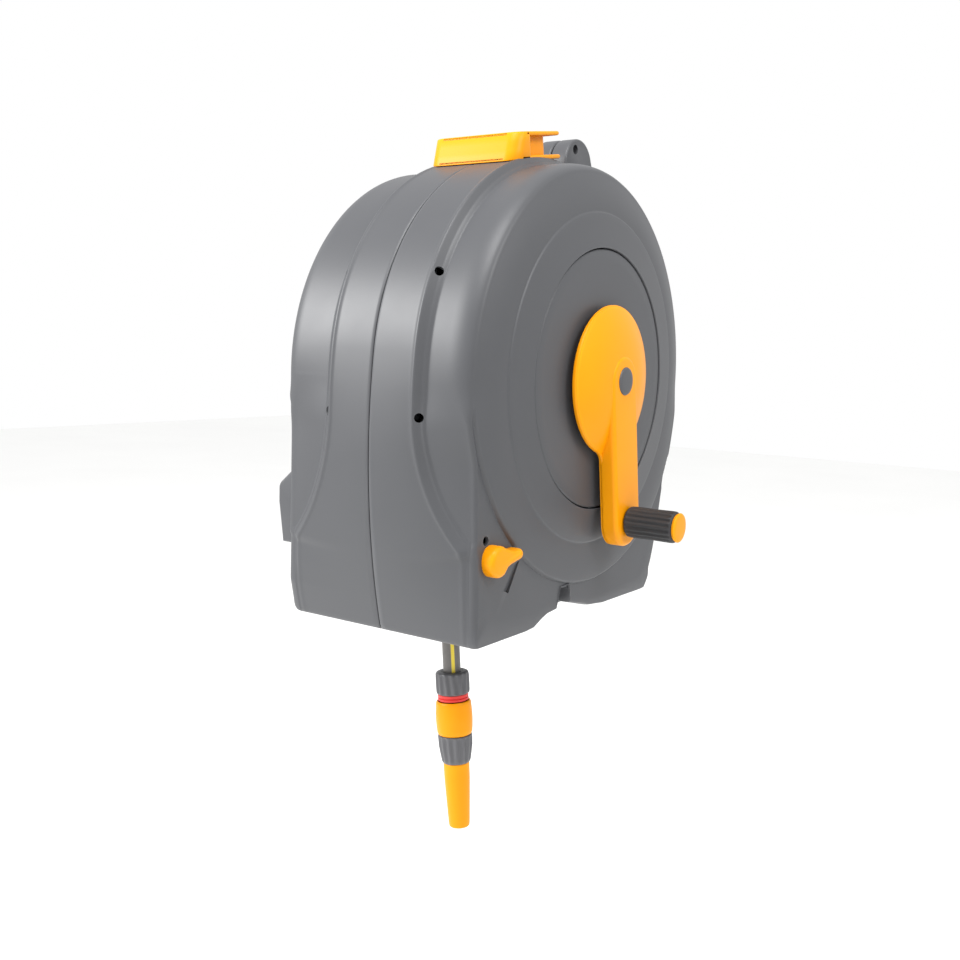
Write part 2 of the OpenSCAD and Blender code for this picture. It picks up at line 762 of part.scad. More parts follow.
// Carry handle on its flat seat
module handle_place() at_drum() rotate([handle_slope, 0, 0]) translate([0, 0, seat_r]) children();
module carry_handle() {
  block_end = handle_block - handle_front;
  color(bright_orange) handle_place() difference() {
    union() {
      side_view(-handle_half_w, handle_half_w) polygon([
        [-handle_front, 0], [handle_back, 0], [handle_back, handle_plate], [block_end, handle_plate],
        [block_end, handle_h - handle_plate], [handle_back, handle_h - handle_plate], [handle_back, handle_h],
        [handle_lean - handle_front, handle_h]
      ]);
      translate([-handle_web, block_end - over, 0])
        cube([2 * handle_web, handle_back - handle_lip - block_end + over, handle_h]);
    }
    for (s = [-1, 1]) translate([s * handle_screw_dx / 2, 0, 0]) {
      rod_z(handle_screw_r, -over, handle_plate + over);
      rod_z(2 * handle_screw_r, handle_plate, handle_h + over);
    }
  }
}
module handle_screws() {
  color(steel_grey) handle_place() for (s = [-1, 1]) translate([s * handle_screw_dx / 2, 0, 0]) {
    rod_z(handle_screw_r, -handle_screw_l, handle_plate);
    rod_z(2 * handle_screw_r - slide_gap, handle_plate, 2 * handle_plate);
  }
}

// Bearings, inlet and feed
module left_axle_bush() {
  color(soft_black) at_drum() tube_x(bush_r, axle_r + run_gap, -cover_back, -hub_x);
}
module right_axle_bush() color(soft_black) at_drum() tube_x(bush_r, axle_r + run_gap, hub_x, cover_x);
module inlet_hood() {
  low = -hood_low;
  top = hood_h - hood_low;
  color(case_grey) at_drum() difference() {
    front_view(-hood_front, -hood_back) polygon([
      [-case_half_w, low], [-case_half_w, top], [-hood_x, top - hood_slope], [-hood_x, low]
    ]);
    front_view(hood_t - hood_front, -hood_t - hood_back) polygon([
      [over - case_half_w, low - over], [over - case_half_w, top - hood_t],
      [hood_t - hood_x, top - hood_slope - hood_t], [hood_t - hood_x, low - over]
    ]);
    rotate([0, 90, 0]) rotate_extrude() drum_outline(-slide_gap);
  }
}
module inlet_spigot() {
  color(soft_black) at_drum() translate([spigot_x, spigot_y, 0]) difference() {
    union() {
      rod_z(spigot_r, spigot_low, spigot_top);
      rod_z(spigot_body_r, spigot_low + spigot_nose, spigot_top);
      translate([0, 0, spigot_top]) sphere(spigot_body_r + slide_gap);
      translate([0, 0, spigot_top]) rod_x(spigot_body_r, 0, -case_half_w - spigot_x);
      translate([0, 0, spigot_top]) rod_x(spigot_collar_r, -case_half_w - spigot_x - spigot_collar_t,
        -case_half_w - spigot_x);
    }
    tube_z(spigot_r + over, spigot_r - seal_t, spigot_low + 2 * seal_t, spigot_low + 3 * seal_t);
    rod_z(spigot_bore_r, spigot_low - over, spigot_top);
    translate([0, 0, spigot_top]) rod_x(spigot_bore_r, 0, hood_w);
    translate([-spigot_x, -spigot_y, 0]) rotate([0, 90, 0]) rotate_extrude() drum_outline(-slide_gap);
  }
}
module inlet_seal() {
  color(signal_red) at_drum() translate([spigot_x, spigot_y, 0])
    tube_z(spigot_r, spigot_r - seal_t, spigot_low + 2 * seal_t, spigot_low + 3 * seal_t);
}
module feed_pipe() {
  run = norm([spigot_y, spigot_top]);
  color(soft_black) at_drum() {
    translate([0, spigot_y, spigot_top]) {
      rod_x(feed_r, -case_half_w, -feed_x);
      translate([-feed_x, 0, 0]) sphere(feed_r + slide_gap);
    }
    translate([-feed_x, 0, 0]) rotate([atan2(spigot_top, spigot_y) + 90, 0, 0])
      rod_z(feed_r, -run, -swivel_r - swivel_gap);
  }
}
module swivel_housing() {
  color(drum_grey) at_drum() difference() {
    rod_x(swivel_r, -hub_x, swivel_l - hub_x);
    rod_x(axle_r + seal_t, -hub_x - over, swivel_l - hub_x + over);
  }
}
module swivel_seals() {
  color(soft_black) at_drum() for (x = [-hub_x + seal_t, swivel_l - hub_x - 2 * seal_t])
    tube_x(axle_r + seal_t, axle_r + axle_gap, x, x + seal_t);
}

// Drum
module flange(from, bore) {
  difference() {
    rod_x(flange_r, from, from + drum_t);
    rod_x(bore, from - over, from + drum_t + over);
    for (k = [0 : window_n - 1]) rotate([360 * k / window_n, 0, 0])
      translate([0, window_at, 0]) rod_x(window_r, from - over, from + drum_t + over);
  }
}
module drum_barrel() color(drum_grey) at_drum() tube_x(barrel_r, barrel_r - drum_t, -left_face, right_face);
module drum_flange_left() color(drum_grey) at_drum() flange(-left_back, axle_r);
module drum_flange_right() color(drum_grey) at_drum() flange(right_face, axle_r);
module drum_axle() {
  color(drum_grey) at_drum() difference() {
    union() {
      rod_x(axle_r, -cover_back + face_gap, -left_face);
      rod_x(axle_r + drum_t, -left_face, drum_t - left_face);
      rod_x(axle_r, -left_face, 3 * axle_r - left_face);
      translate([2 * axle_r - left_face, 0, 0])
        rod_z(spur_r, 0, sqrt((barrel_r - drum_t) ^ 2 - spur_r ^ 2) - axle_gap);
    }
    rod_x(axle_bore_r, -cover_x, 2 * axle_r - left_face);
    translate([2 * axle_r - left_face, 0, 0]) rod_z(axle_bore_r, 0, barrel_r);
  }
}
module crank_shaft() {
  color(steel_grey) at_drum() difference() {
    union() {
      rod_x(axle_r, right_face, shaft_end);
      rod_x(axle_r + drum_t, right_face - drum_t, right_face);
    }
    rod_x(crank_screw_r, shaft_end - crank_screw_l, shaft_end + over);
  }
}
module gear(teeth, bore, turn) {
  pitch = 360 / teeth;
  root = gear_m * (teeth / 2 - tooth_down_share);
  tip = gear_m * (teeth / 2 + tooth_up_share);
  side_view(gear_x, gear_x + gear_w) difference() {
    polygon([
      for (k = [0 : teeth - 1], p = [
        [root, -tooth_root_share], [tip, -tooth_tip_share], [tip, tooth_tip_share], [root, tooth_root_share]
      ]) p[0] * [cos(turn + pitch * (k + p[1])), sin(turn + pitch * (k + p[1]))]
    ]);
    circle(bore);
  }
}
module drum_gear() {
  color(soft_black) at_drum() {
    gear(drum_teeth, axle_r, train_angle);
    tube_x(axle_r + drum_t, axle_r, right_back, gear_x);
  }
}
module idler_place() translate([0, idler_at * cos(train_angle), idler_at * sin(train_angle)]) children();
module idler_gear() {
  color(soft_black) at_drum() idler_place()
    gear(idler_teeth, idler_pin_r + run_gap, train_angle + 180 / idler_teeth);
}
module idler_pin() {
  color(steel_grey) at_drum() idler_place() {
    rod_x(idler_pin_r, gear_x - face_gap, gear_x + gear_w + face_gap);
    rod_x(idler_shoulder_r, gear_x + gear_w + face_gap / 2, cover_back);
  }
}
module layer_place() translate([0, -layer_y, layer_z]) children();
module layer_gear() {
  color(soft_black) at_drum() layer_place() gear(layer_teeth, layer_r, train_angle);
}
// The reversing groove is drawn as a row of rings
module layer_screw() {
  span = guide_travel + carriage_half_w;
  color(steel_grey) at_drum() layer_place() difference() {
    rod_x(layer_r, face_gap - inner_x, inner_x - face_gap);
    for (k = [0 : groove_n - 1]) tube_x(layer_r + over, layer_r - groove_d,
      span * (2 * k / (groove_n - 1) - 1) - groove_w / 2, span * (2 * k / (groove_n - 1) - 1) + groove_w / 2);
  }
}
module layer_bearings() {
  color(soft_black) at_drum() layer_place() for (side = [-1, 1]) mirror([side > 0 ? 0 : 1, 0, 0])
    tube_x(bearing_r, layer_r + run_gap, inner_x - bearing_l / 2, inner_x);
}
module guide_rod() color(steel_grey) at_drum() translate([0, -rod_y, layer_z])
  rod_x(rod_r, -inner_x, inner_x);

// Hose on the drum
function wind_point(k) =
  let (t = k / wind_rings, a = leave_angle - 360 * wind_turns * (1 - t))
  [wind_start * (1 - t), wind_r * cos(a), wind_r * sin(a)];
function wind_heading(a) = [0, -sin(a), cos(a)];
first_angle = leave_angle - 360 * wind_turns;
wind_path = concat(
  [wind_point(0) - hose_d * wind_heading(first_angle)],
  [for (k = [0 : wind_rings]) wind_point(k)],
  [wind_point(wind_rings) + wind_run / 2 * wind_heading(leave_angle)],
  [wind_point(wind_rings) + wind_run * wind_heading(leave_angle)]
);
// Least gap between neighbouring turns, measured on the points of the winding
wind_least = min([for (i = [0 : wind_rings - rings_per_turn], j = [rings_per_turn - 2 : rings_per_turn + 2])
  if (i + j <= wind_rings) norm(wind_point(i) - wind_point(i + j))]) - hose_d;
echo(least_gap_of_the_winding = wind_least);

// A closed tube along a path, with square ends
module swept_tube(path, r, sides) {
  n = len(path);
  heading = [for (i = [0 : n - 1]) let (d = path[min(i + 1, n - 1)] - path[max(i - 1, 0)]) d / norm(d)];
  points = [
    for (i = [0 : n - 1])
      let (u0 = cross(heading[i], [1, 0, 0]), u = u0 / norm(u0), v = cross(heading[i], u))
      for (k = [0 : sides - 1]) path[i] + r * (cos(360 * k / sides) * u + sin(360 * k / sides) * v)
  ];
  sides_faces = [
    for (i = [0 : n - 2], k = [0 : sides - 1])
      let (a = i * sides + k, b = i * sides + (k + 1) % sides)
      for (f = [[a, b, a + sides], [b, b + sides, a + sides]]) f
  ];
  last = (n - 1) * sides;
  end_faces = [for (k = [1 : sides - 2]) each [[0, k + 1, k], [last, last + k, last + k + 1]]];
  polyhedron(points = points, faces = concat(sides_faces, end_faces));
}
module hose_core() {
  color(hose_grey) at_drum() tube_x(core_r, barrel_r + wind_gap, wind_gap - left_face, right_face - wind_gap);
}
module hose_layer() color(hose_grey) at_drum() swept_tube(wind_path, hose_d / 2, 6);
module hose_tail() color(hose_grey) at_drum() swept_tube(tail_route, hose_d / 2, 10);

// Crank and grip
module grip_place() rotate([crank_lean, 0, 0]) translate([0, 0, -grip_reach]) children();
// Room under the crank's domed plate, from its hub out to its rim
module crank_hollow() {
  dome_share = 0.55;
  depth = crank_t - crank_wall;
  mid_r = crank_flat_r + dome_share * (crank_r - crank_flat_r);
  spin_x(crank_x) polygon([
    [crank_hub_r, -over], [crank_r - crank_wall, -over], [mid_r - crank_wall / 2, dome_share * depth],
    [crank_flat_r, depth], [crank_hub_r, depth]
  ]);
}
module crank_plate() {
  mid_share = 0.5;
  rise_share = 0.66;
  mid_r = crank_flat_r + mid_share * (crank_r - crank_flat_r);
  spin_x(crank_x) polygon([
    [0, 0], [crank_r, 0], [crank_r, crank_rim], [mid_r, crank_rim + rise_share * (crank_t - crank_rim)],
    [crank_flat_r, crank_t - crank_step], [0, crank_t - crank_step]
  ]);
}
module crank_arm() {
  inner = crank_arm_half_w - crank_wall;
  boss = 2 * grip_pin_r + crank_wall;
  start = crank_r + crank_wall;
  color(bright_orange) at_drum() difference() {
    union() {
      crank_plate();
      rotate([crank_lean, 0, 0]) side_view(crank_x + crank_step, crank_face) {
        translate([-crank_arm_half_w, -grip_reach]) square([2 * crank_arm_half_w, grip_reach]);
        for (z = [0, -grip_reach]) translate([0, z]) circle(crank_arm_half_w);
      }
    }
    crank_hollow();
    rotate([crank_lean, 0, 0]) translate([crank_x - over, -inner, boss - grip_reach])
      cube([crank_t - crank_wall + over, 2 * inner, grip_reach - boss - start]);
    rod_x(axle_r, crank_x - over, shaft_end);
    rod_x(hub_cap_r + slide_gap, shaft_end, crank_face);
    rod_x(button_r, crank_face - button_t, crank_face + over);
    grip_place() rod_x(grip_pin_r, crank_x - over, crank_face + over);
  }
}
module crank_button() color(case_grey) at_drum()
  rod_x(button_r - slide_gap, crank_face - button_t, crank_face);
module crank_screw() {
  color(steel_grey) at_drum() {
    rod_x(crank_screw_r, shaft_end - crank_screw_l, shaft_end);
    rod_x(hub_cap_r, shaft_end, crank_face - button_t);
  }
}
module grip_pin() {
  color(steel_grey) at_drum() grip_place() rod_x(grip_pin_r, crank_x, grip_end);
}
module crank_grip() color(soft_black) at_drum() grip_place()
  tube_x(grip_r, grip_pin_r + run_gap, grip_start, grip_end);
module grip_cap() {
  color(bright_orange) at_drum() grip_place()
    rod_x(grip_r - grip_cap_in, grip_end + axle_gap, grip_end + axle_gap + grip_cap_t);
}

// Brake
module brake_place() translate([0, -brake_y, -brake_z]) children();
module brake_bush() {
  color(soft_black) at_drum() brake_place()
    tube_x(brake_pin_r + bush_t, brake_pin_r + run_gap, inner_x, case_half_w);
}
module brake_lever() {
  from = case_half_w + face_gap;
  color(bright_orange) at_drum() brake_place() {
    rod_x(brake_hub_r, from, from + brake_t);
    side_view(from, from + brake_t) {
      translate([brake_nose - brake_hub_r / 2, 0]) circle(brake_hub_r / 2);
      polygon([[0, -lever_root_share * brake_hub_r], [brake_nose - brake_hub_r / 2, -brake_hub_r / 2],
        [brake_nose - brake_hub_r / 2, brake_hub_r / 2], [0, lever_root_share * brake_hub_r]]);
    }
    rod_x(brake_pin_r, shoe_x + shoe_t / 2, from);
  }
}
module brake_cam() {
  a = brake_angle + 180 + cam_turn;
  color(soft_black) at_drum() brake_place() translate([0, cam_off * cos(a), cam_off * sin(a)])
    rod_x(cam_r, shoe_x - shoe_t / 2, shoe_x + shoe_t / 2);
}
module brake_shoe() {
  back = shoe_mid + cam_r + 2 * cam_gap + wall;
  color(soft_black) at_drum() side_view(shoe_x - shoe_t / 2, shoe_x + shoe_t / 2) rotate(brake_angle)
    difference() {
    translate([shoe_face, -shoe_half_w]) square([back - shoe_face, 2 * shoe_half_w]);
    translate([shoe_mid - cam_r - cam_gap, -cam_r - cam_off - cam_gap])
      square([2 * (cam_r + cam_gap), 2 * (cam_r + cam_off + cam_gap)]);
  }
}

// Hose guide
roller_y = hose_d / 2 + face_gap + roller_r;
tail_at_guide = lookup(-layer_z, [for (p = tail_route) [-p[2], p[1]]]);
module roller_place(side) translate([0, tail_at_guide + side * roller_y, layer_z]) children();
window_half_w = carriage_half_w - carriage_wall - over;
module guide_carriage() {
  front = -rod_y - rod_r - carriage_wall;
  back = layer_r + carriage_wall - layer_y;
  color(bright_orange) at_drum() difference() {
    translate([-carriage_half_w, front, layer_z - carriage_h / 2])
      cube([2 * carriage_half_w, back - front, carriage_h]);
    translate([-window_half_w, tail_at_guide - roller_y - roller_r - axle_gap, layer_z - carriage_h])
      cube([2 * window_half_w, 2 * (roller_y + roller_r + axle_gap), 2 * carriage_h]);
    translate([0, -rod_y, layer_z]) rod_x(rod_r + slide_gap, -inner_x, inner_x);
    layer_place() rod_x(layer_r + slide_gap, -inner_x, inner_x);
    for (side = [-1, 1]) roller_place(side)
      rod_x(roller_pin_r, -carriage_half_w - over, carriage_half_w + over);
  }
}
module guide_roller(side) {
  color(soft_black) at_drum() roller_place(side)
    tube_x(roller_r, roller_pin_r + run_gap, axle_gap - window_half_w, window_half_w - axle_gap);
}
module front_roller() guide_roller(-1);
module rear_roller() guide_roller(1);
module roller_pins() {
  color(steel_grey) at_drum() for (side = [-1, 1]) roller_place(side)
    rod_x(roller_pin_r, -carriage_half_w, carriage_half_w);
}

// Connector and nozzle hang on one leaning axis
module nozzle_place() at_drum() translate([nut_x, -hose_y, -nut_top]) rotate([0, -nozzle_lean, 0]) children();
module ribbed(r, from, to) {
  difference() {
    rod_z(r, from, to);
    for (k = [0 : rib_n - 1]) rotate([0, 0, 360 * k / rib_n]) translate([r, 0, 0])
      rod_z(rib_d, from - over, to + over);
  }
}
module hose_nut() {
  color(hose_grey) nozzle_place() difference() {
    ribbed(nut_r, -nut_l, 0);
    rod_z(connector_r, -nut_l - over, over);
  }
}
module seal_ring() color(signal_red) nozzle_place() tube_z(seal_ring_r, connector_r, ring_low, -nut_l);
module connector_core() {
  color(soft_black) nozzle_place() difference() {
    rod_z(connector_r, barrel_top - core_in_barrel, 0);
    rod_z(water_r, barrel_top - core_in_barrel - over, over);
  }
}
module release_collar() {
  color(bright_orange) nozzle_place() difference() {
    rod_z(collar_r, collar_low, collar_top);
    rod_z(connector_r + run_gap, collar_low - over, collar_top + over);
    rod_z(seal_ring_r + nozzle_gap, collar_top - collar_travel - nozzle_gap, collar_top + over);
  }
}
module nozzle_barrel() {
  color(hose_grey) nozzle_place() difference() {
    union() {
      ribbed(nozzle_barrel_r, barrel_low + barrel_cone, barrel_top);
      translate([0, 0, barrel_low]) cylinder(r1 = barrel_low_r, r2 = nozzle_barrel_r - rib_d,
        h = barrel_cone);
    }
    rod_z(neck_r + run_gap, barrel_low - over, barrel_top + over);
    rod_z(connector_r, barrel_top - core_in_barrel, barrel_top + over);
  }
}
module nozzle_spout() {
  color(bright_orange) nozzle_place() difference() {
    union() {
      translate([0, 0, spout_top - spout_l]) cylinder(r1 = spout_tip_r, r2 = spout_root_r, h = spout_l);
      rod_z(neck_r, spout_top, spout_top + neck_l);
    }
    rod_z(water_r, spout_top - spout_l - over, spout_top + neck_l + over);
  }
}

wall_bracket();
upper_hinge_pin();
lower_hinge_pin();
upper_hinge_bush();
lower_hinge_bush();
case_left();
case_right();
cover_left();
cover_right();
case_screws();
carry_handle();
handle_screws();
left_axle_bush();
right_axle_bush();
inlet_hood();
inlet_spigot();
inlet_seal();
feed_pipe();
swivel_housing();
swivel_seals();
guide_rod();
layer_bearings();
idler_pin();
brake_bush();
drum_barrel();
drum_flange_left();
drum_flange_right();
drum_axle();
crank_shaft();
drum_gear();
hose_core();
hose_layer();
crank_arm();
crank_button();
crank_screw();
grip_pin();
crank_grip();
grip_cap();
brake_lever();
brake_cam();
brake_shoe();
idler_gear();
layer_screw();
layer_gear();
guide_carriage();
front_roller();
rear_roller();
roller_pins();
hose_tail();
hose_nut();
seal_ring();
connector_core();
release_collar();
nozzle_barrel();
nozzle_spout();
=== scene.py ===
# %% [markdown]
# # A wall mounted hose reel
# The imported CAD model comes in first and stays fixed. It gives every piece its place, its size and the body that it
# moves with. Each step below either dresses a CAD piece with a finish or builds a fuller mesh over it.

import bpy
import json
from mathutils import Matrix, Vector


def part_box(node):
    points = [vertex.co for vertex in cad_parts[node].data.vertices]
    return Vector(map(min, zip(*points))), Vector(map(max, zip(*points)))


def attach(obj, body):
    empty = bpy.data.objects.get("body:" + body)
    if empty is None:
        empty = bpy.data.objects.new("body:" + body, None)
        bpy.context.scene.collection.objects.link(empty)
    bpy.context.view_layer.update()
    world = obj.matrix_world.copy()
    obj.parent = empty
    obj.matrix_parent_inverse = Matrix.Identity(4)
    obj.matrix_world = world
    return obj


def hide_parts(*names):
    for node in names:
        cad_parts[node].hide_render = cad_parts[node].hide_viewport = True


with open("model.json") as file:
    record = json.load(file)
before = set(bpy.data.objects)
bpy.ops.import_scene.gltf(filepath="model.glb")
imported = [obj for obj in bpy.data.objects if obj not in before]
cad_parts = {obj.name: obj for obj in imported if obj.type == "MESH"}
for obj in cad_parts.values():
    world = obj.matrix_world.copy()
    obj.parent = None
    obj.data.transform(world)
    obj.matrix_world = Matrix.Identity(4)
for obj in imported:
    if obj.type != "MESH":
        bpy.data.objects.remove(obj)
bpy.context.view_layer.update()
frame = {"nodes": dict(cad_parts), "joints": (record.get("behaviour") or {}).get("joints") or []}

# %% [markdown]
# ## Units and the drum axis
# The sizes of a moulding are easiest to read in millimetres round the middle of the part, so shapes are drawn in
# millimetres round the drum axis. One function turns them into metres in the frame. The axis itself is the joint that
# the drum spins on, so nothing is measured twice.

# %% Millimetres round the drum axis
import json
import math

import bmesh
import bpy
import numpy as np
from mathutils import Matrix, Vector

MM = 0.001
joint_at = {joint["name"]: np.array(joint["pos_m"]) / MM for joint in frame["joints"] if "pos_m" in joint}
axle_at = np.array([0.0, joint_at["drum_spin"][1], joint_at["drum_spin"][2]])


def in_frame(points):
    """Points in millimetres round the drum axis, as metres in the frame."""
    return (np.asarray(points, float) + axle_at) * MM


def from_axle(node):
    """A CAD node's lowest and highest corner, in millimetres round the drum axis."""
    low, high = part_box(node)
    return np.array(low) / MM - axle_at, np.array(high) / MM - axle_at


print("drum axis at", axle_at, "mm")

# %% [markdown]
# ## Camera
# The photograph was taken from the front right, a little above the axis, with the camera rolled by about two degrees.
# The lens is 41.25 mm on a 36 mm wide square frame. The three camera axes are worked out from the angles, because a
# matrix keeps the roll exact.

# %% Camera at the photograph's angle
AZIMUTH, ELEVATION, ROLL = (math.radians(a) for a in (34.39, 7.02, 1.90))
CAMERA_AT = (622.2, -948.9, 30.4)
LENS_MM, SENSOR_MM = 41.25, 36

back = Vector((math.sin(AZIMUTH) * math.cos(ELEVATION),
               -math.cos(AZIMUTH) * math.cos(ELEVATION), math.sin(ELEVATION)))
level = Vector((math.cos(AZIMUTH), math.sin(AZIMUTH), 0))
upright = back.cross(level)
right = level * math.cos(ROLL) + upright * math.sin(ROLL)
lens = bpy.data.cameras.new("reel_camera")
lens.sensor_fit = "HORIZONTAL"
lens.sensor_width, lens.lens = SENSOR_MM, LENS_MM
camera = bpy.data.objects.new("reel_camera", lens)
bpy.context.collection.objects.link(camera)
turned = Matrix((right, back.cross(right), back)).transposed().to_4x4()
camera.matrix_world = Matrix.Translation(in_frame(CAMERA_AT)) @ turned
bpy.context.scene.camera = camera
print("camera at", [round(c, 3) for c in camera.location])

# %% [markdown]
# ## Finishes
# Nearly everything on a reel is moulded plastic, and what tells the plastics apart is gloss and grain. Each finish is a
# node tree, so that its grain keeps its real size on every piece. One small function adds a node with its settings and
# links, and one turns sRGB hex colours, as picked from a colour chart, into the linear values that a shader needs.

# %% Node and colour helpers
def linear(hex_colour):
    """An sRGB hex colour as linear red, green, blue and alpha."""
    parts = [int(hex_colour[i : i + 2], 16) / 255 for i in (1, 3, 5)]
    return [p / 12.92 if p <= 0.04045 else ((p + 0.055) / 1.055) ** 2.4 for p in parts] + [1]


def add(tree, kind, inputs=None, **settings):
    """Adds a node, sets its options, and fills its inputs with values or links."""
    node = tree.nodes.new(kind)
    for name, value in settings.items():
        setattr(node, name, value)
    for name, value in (inputs or {}).items():
        if isinstance(value, bpy.types.NodeSocket):
            tree.links.new(value, node.inputs[name])
        else:
            node.inputs[name].default_value = value
    return node


def new_finish(name, **constants):
    """A material with one Principled shader, whose even values are set on its own sockets."""
    finish = bpy.data.materials.new(name)
    finish.use_nodes = True
    shader = finish.node_tree.nodes["Principled BSDF"]
    for socket, value in constants.items():
        shader.inputs[socket.replace("_", " ")].default_value = value
    return finish, finish.node_tree, shader


print("helpers for finishes ready")

# %% [markdown]
# ### Moulded plastics
# A moulded surface copies the steel of its mould. The case mould is spark eroded, which gives polypropylene a fine even
# grain and a satin sheen. The orange ABS comes from a polished mould and is glossier. Both get a little lighter where
# edges are rubbed. The grain is real in size, about half a millimetre, and the broad mottling is the flow of the melt.

# %% Moulded plastic finishes
def moulded(name, colour, rubbed, roughness, grain_mm, grain_depth, flow_mm=60, **constants):
    """A moulded plastic or rubber: its colour, the lighter one of rubbed edges, its gloss and its grain."""
    finish, tree, shader = new_finish(name, **constants)
    place = add(tree, "ShaderNodeTexCoord").outputs["Object"]
    grain = add(tree, "ShaderNodeTexNoise", {"Vector": place, "Scale": 1 / (grain_mm * MM), "Detail": 2})
    flow = add(tree, "ShaderNodeTexNoise", {"Vector": place, "Scale": 1 / (flow_mm * MM), "Detail": 3})
    edge = add(tree, "ShaderNodeMapRange", {"Value": add(tree, "ShaderNodeNewGeometry").outputs["Pointiness"],
                                            "From Min": 0.52, "From Max": 0.60})
    worn = add(tree, "ShaderNodeMath", {0: edge.outputs["Result"], 1: flow.outputs["Fac"]}, operation="MULTIPLY")
    base = add(tree, "ShaderNodeMix", {"Factor": worn.outputs["Value"], "A": linear(colour), "B": linear(rubbed)},
               data_type="RGBA")
    tint = add(tree, "ShaderNodeHueSaturation", {"Color": base.outputs[2], "Value": add(tree, "ShaderNodeMapRange", {
        "Value": flow.outputs["Fac"], "To Min": 0.95, "To Max": 1.05}).outputs["Result"]})
    gloss = add(tree, "ShaderNodeMapRange", {"Value": flow.outputs["Fac"], "To Min": roughness - 0.05,
                                             "To Max": roughness + 0.05})
    bump = add(tree, "ShaderNodeBump", {"Height": grain.outputs["Fac"], "Strength": 1, "Distance": grain_depth * MM})
    tree.links.new(tint.outputs["Color"], shader.inputs["Base Color"])
    tree.links.new(gloss.outputs["Result"], shader.inputs["Roughness"])
    tree.links.new(bump.outputs["Normal"], shader.inputs["Normal"])
    return finish


case_plastic = moulded("eroded_grey_polypropylene", "#424346", "#606164", 0.46, 0.7, 0.03, IOR=1.49)
orange_plastic = moulded("polished_orange_abs", "#df8d00", "#ea9f08", 0.38, 1.2, 0.008, IOR=1.53,
                         Specular_IOR_Level=0.15)
grip_rubber = moulded("matt_black_soft_grip", "#232325", "#333336", 0.62, 0.6, 0.04, IOR=1.5)
gear_plastic = moulded("moulded_black_acetal", "#1f2022", "#303134", 0.42, 0.8, 0.02, IOR=1.48)
drum_plastic = moulded("moulded_pale_grey_polypropylene", "#8c8f93", "#a2a5a8", 0.48, 0.7, 0.03, IOR=1.49)
fitting_plastic = moulded("moulded_grey_nylon", "#4c4c4f", "#646467", 0.42, 0.6, 0.02, IOR=1.53)
seal_rubber = moulded("moulded_red_seal_rubber", "#c8241e", "#d6403a", 0.45, 0.6, 0.02, IOR=1.5)
print("moulded finishes:", [m.name for m in bpy.data.materials if m.use_nodes][-7:])

# %% [markdown]
# ### Steel and hose
# Pins, rods and screws are zinc plated steel, turned on a lathe, which leaves faint rings. The hose is extruded PVC: it
# is smooth, a little glossy, and has one yellow line along its side. The line follows the hose, so it is drawn from the
# tube's own UV map, where U runs once round the hose.

# %% Steel and hose finishes
zinc_steel, tree, shader = new_finish("zinc_plated_turned_steel", Metallic=1.0)
place = add(tree, "ShaderNodeTexCoord").outputs["Object"]
rings = add(tree, "ShaderNodeTexNoise", {"Vector": place, "Scale": 1 / (0.8 * MM), "Detail": 2})
cloud = add(tree, "ShaderNodeTexNoise", {"Vector": place, "Scale": 1 / (12 * MM), "Detail": 3})
plate = add(tree, "ShaderNodeMix", {"Factor": cloud.outputs["Fac"], "A": linear("#a9acb0"), "B": linear("#c9ccd0")},
            data_type="RGBA")
polish = add(tree, "ShaderNodeMapRange", {"Value": cloud.outputs["Fac"], "To Min": 0.25, "To Max": 0.42})
turned_bump = add(tree, "ShaderNodeBump", {"Height": rings.outputs["Fac"], "Distance": 0.01 * MM})
tree.links.new(plate.outputs[2], shader.inputs["Base Color"])
tree.links.new(polish.outputs["Result"], shader.inputs["Roughness"])
tree.links.new(turned_bump.outputs["Normal"], shader.inputs["Normal"])

hose_pvc, tree, shader = new_finish("extruded_grey_pvc_with_yellow_line", IOR=1.53)
place = add(tree, "ShaderNodeTexCoord").outputs["Object"]
around = add(tree, "ShaderNodeSeparateXYZ", {"Vector": add(tree, "ShaderNodeUVMap").outputs["UV"]}).outputs["X"]
LINE_HALF_SHARE = 0.026
from_line = add(tree, "ShaderNodeMath", {0: around, 1: 0.5}, operation="PINGPONG")
stripe = add(tree, "ShaderNodeMapRange", {"Value": from_line.outputs["Value"], "From Min": LINE_HALF_SHARE,
                                          "From Max": LINE_HALF_SHARE + 0.01, "To Min": 1, "To Max": 0})
haze = add(tree, "ShaderNodeTexNoise", {"Vector": place, "Scale": 1 / (8 * MM), "Detail": 3})
grey = add(tree, "ShaderNodeMix", {"Factor": haze.outputs["Fac"], "A": linear("#55524f"), "B": linear("#6a6764")},
           data_type="RGBA")
lined = add(tree, "ShaderNodeMix", {"Factor": stripe.outputs["Result"], "A": grey.outputs[2], "B": linear("#dcc437")},
            data_type="RGBA")
hose_gloss = add(tree, "ShaderNodeMapRange", {"Value": haze.outputs["Fac"], "To Min": 0.36, "To Max": 0.5})
hose_bump = add(tree, "ShaderNodeBump", {"Height": haze.outputs["Fac"], "Distance": 0.05 * MM})
tree.links.new(lined.outputs[2], shader.inputs["Base Color"])
tree.links.new(hose_gloss.outputs["Result"], shader.inputs["Roughness"])
tree.links.new(hose_bump.outputs["Normal"], shader.inputs["Normal"])
print("steel and hose finishes ready")

# %% [markdown]
# ## Making a piece
# Every piece is a mesh from points and faces. A piece gets its finish and the body it moves with in one call.
# Edges sharper than 35 degrees stay crisp and the rest are shaded smooth.

# %% Piece from points and faces
CRISP = 35


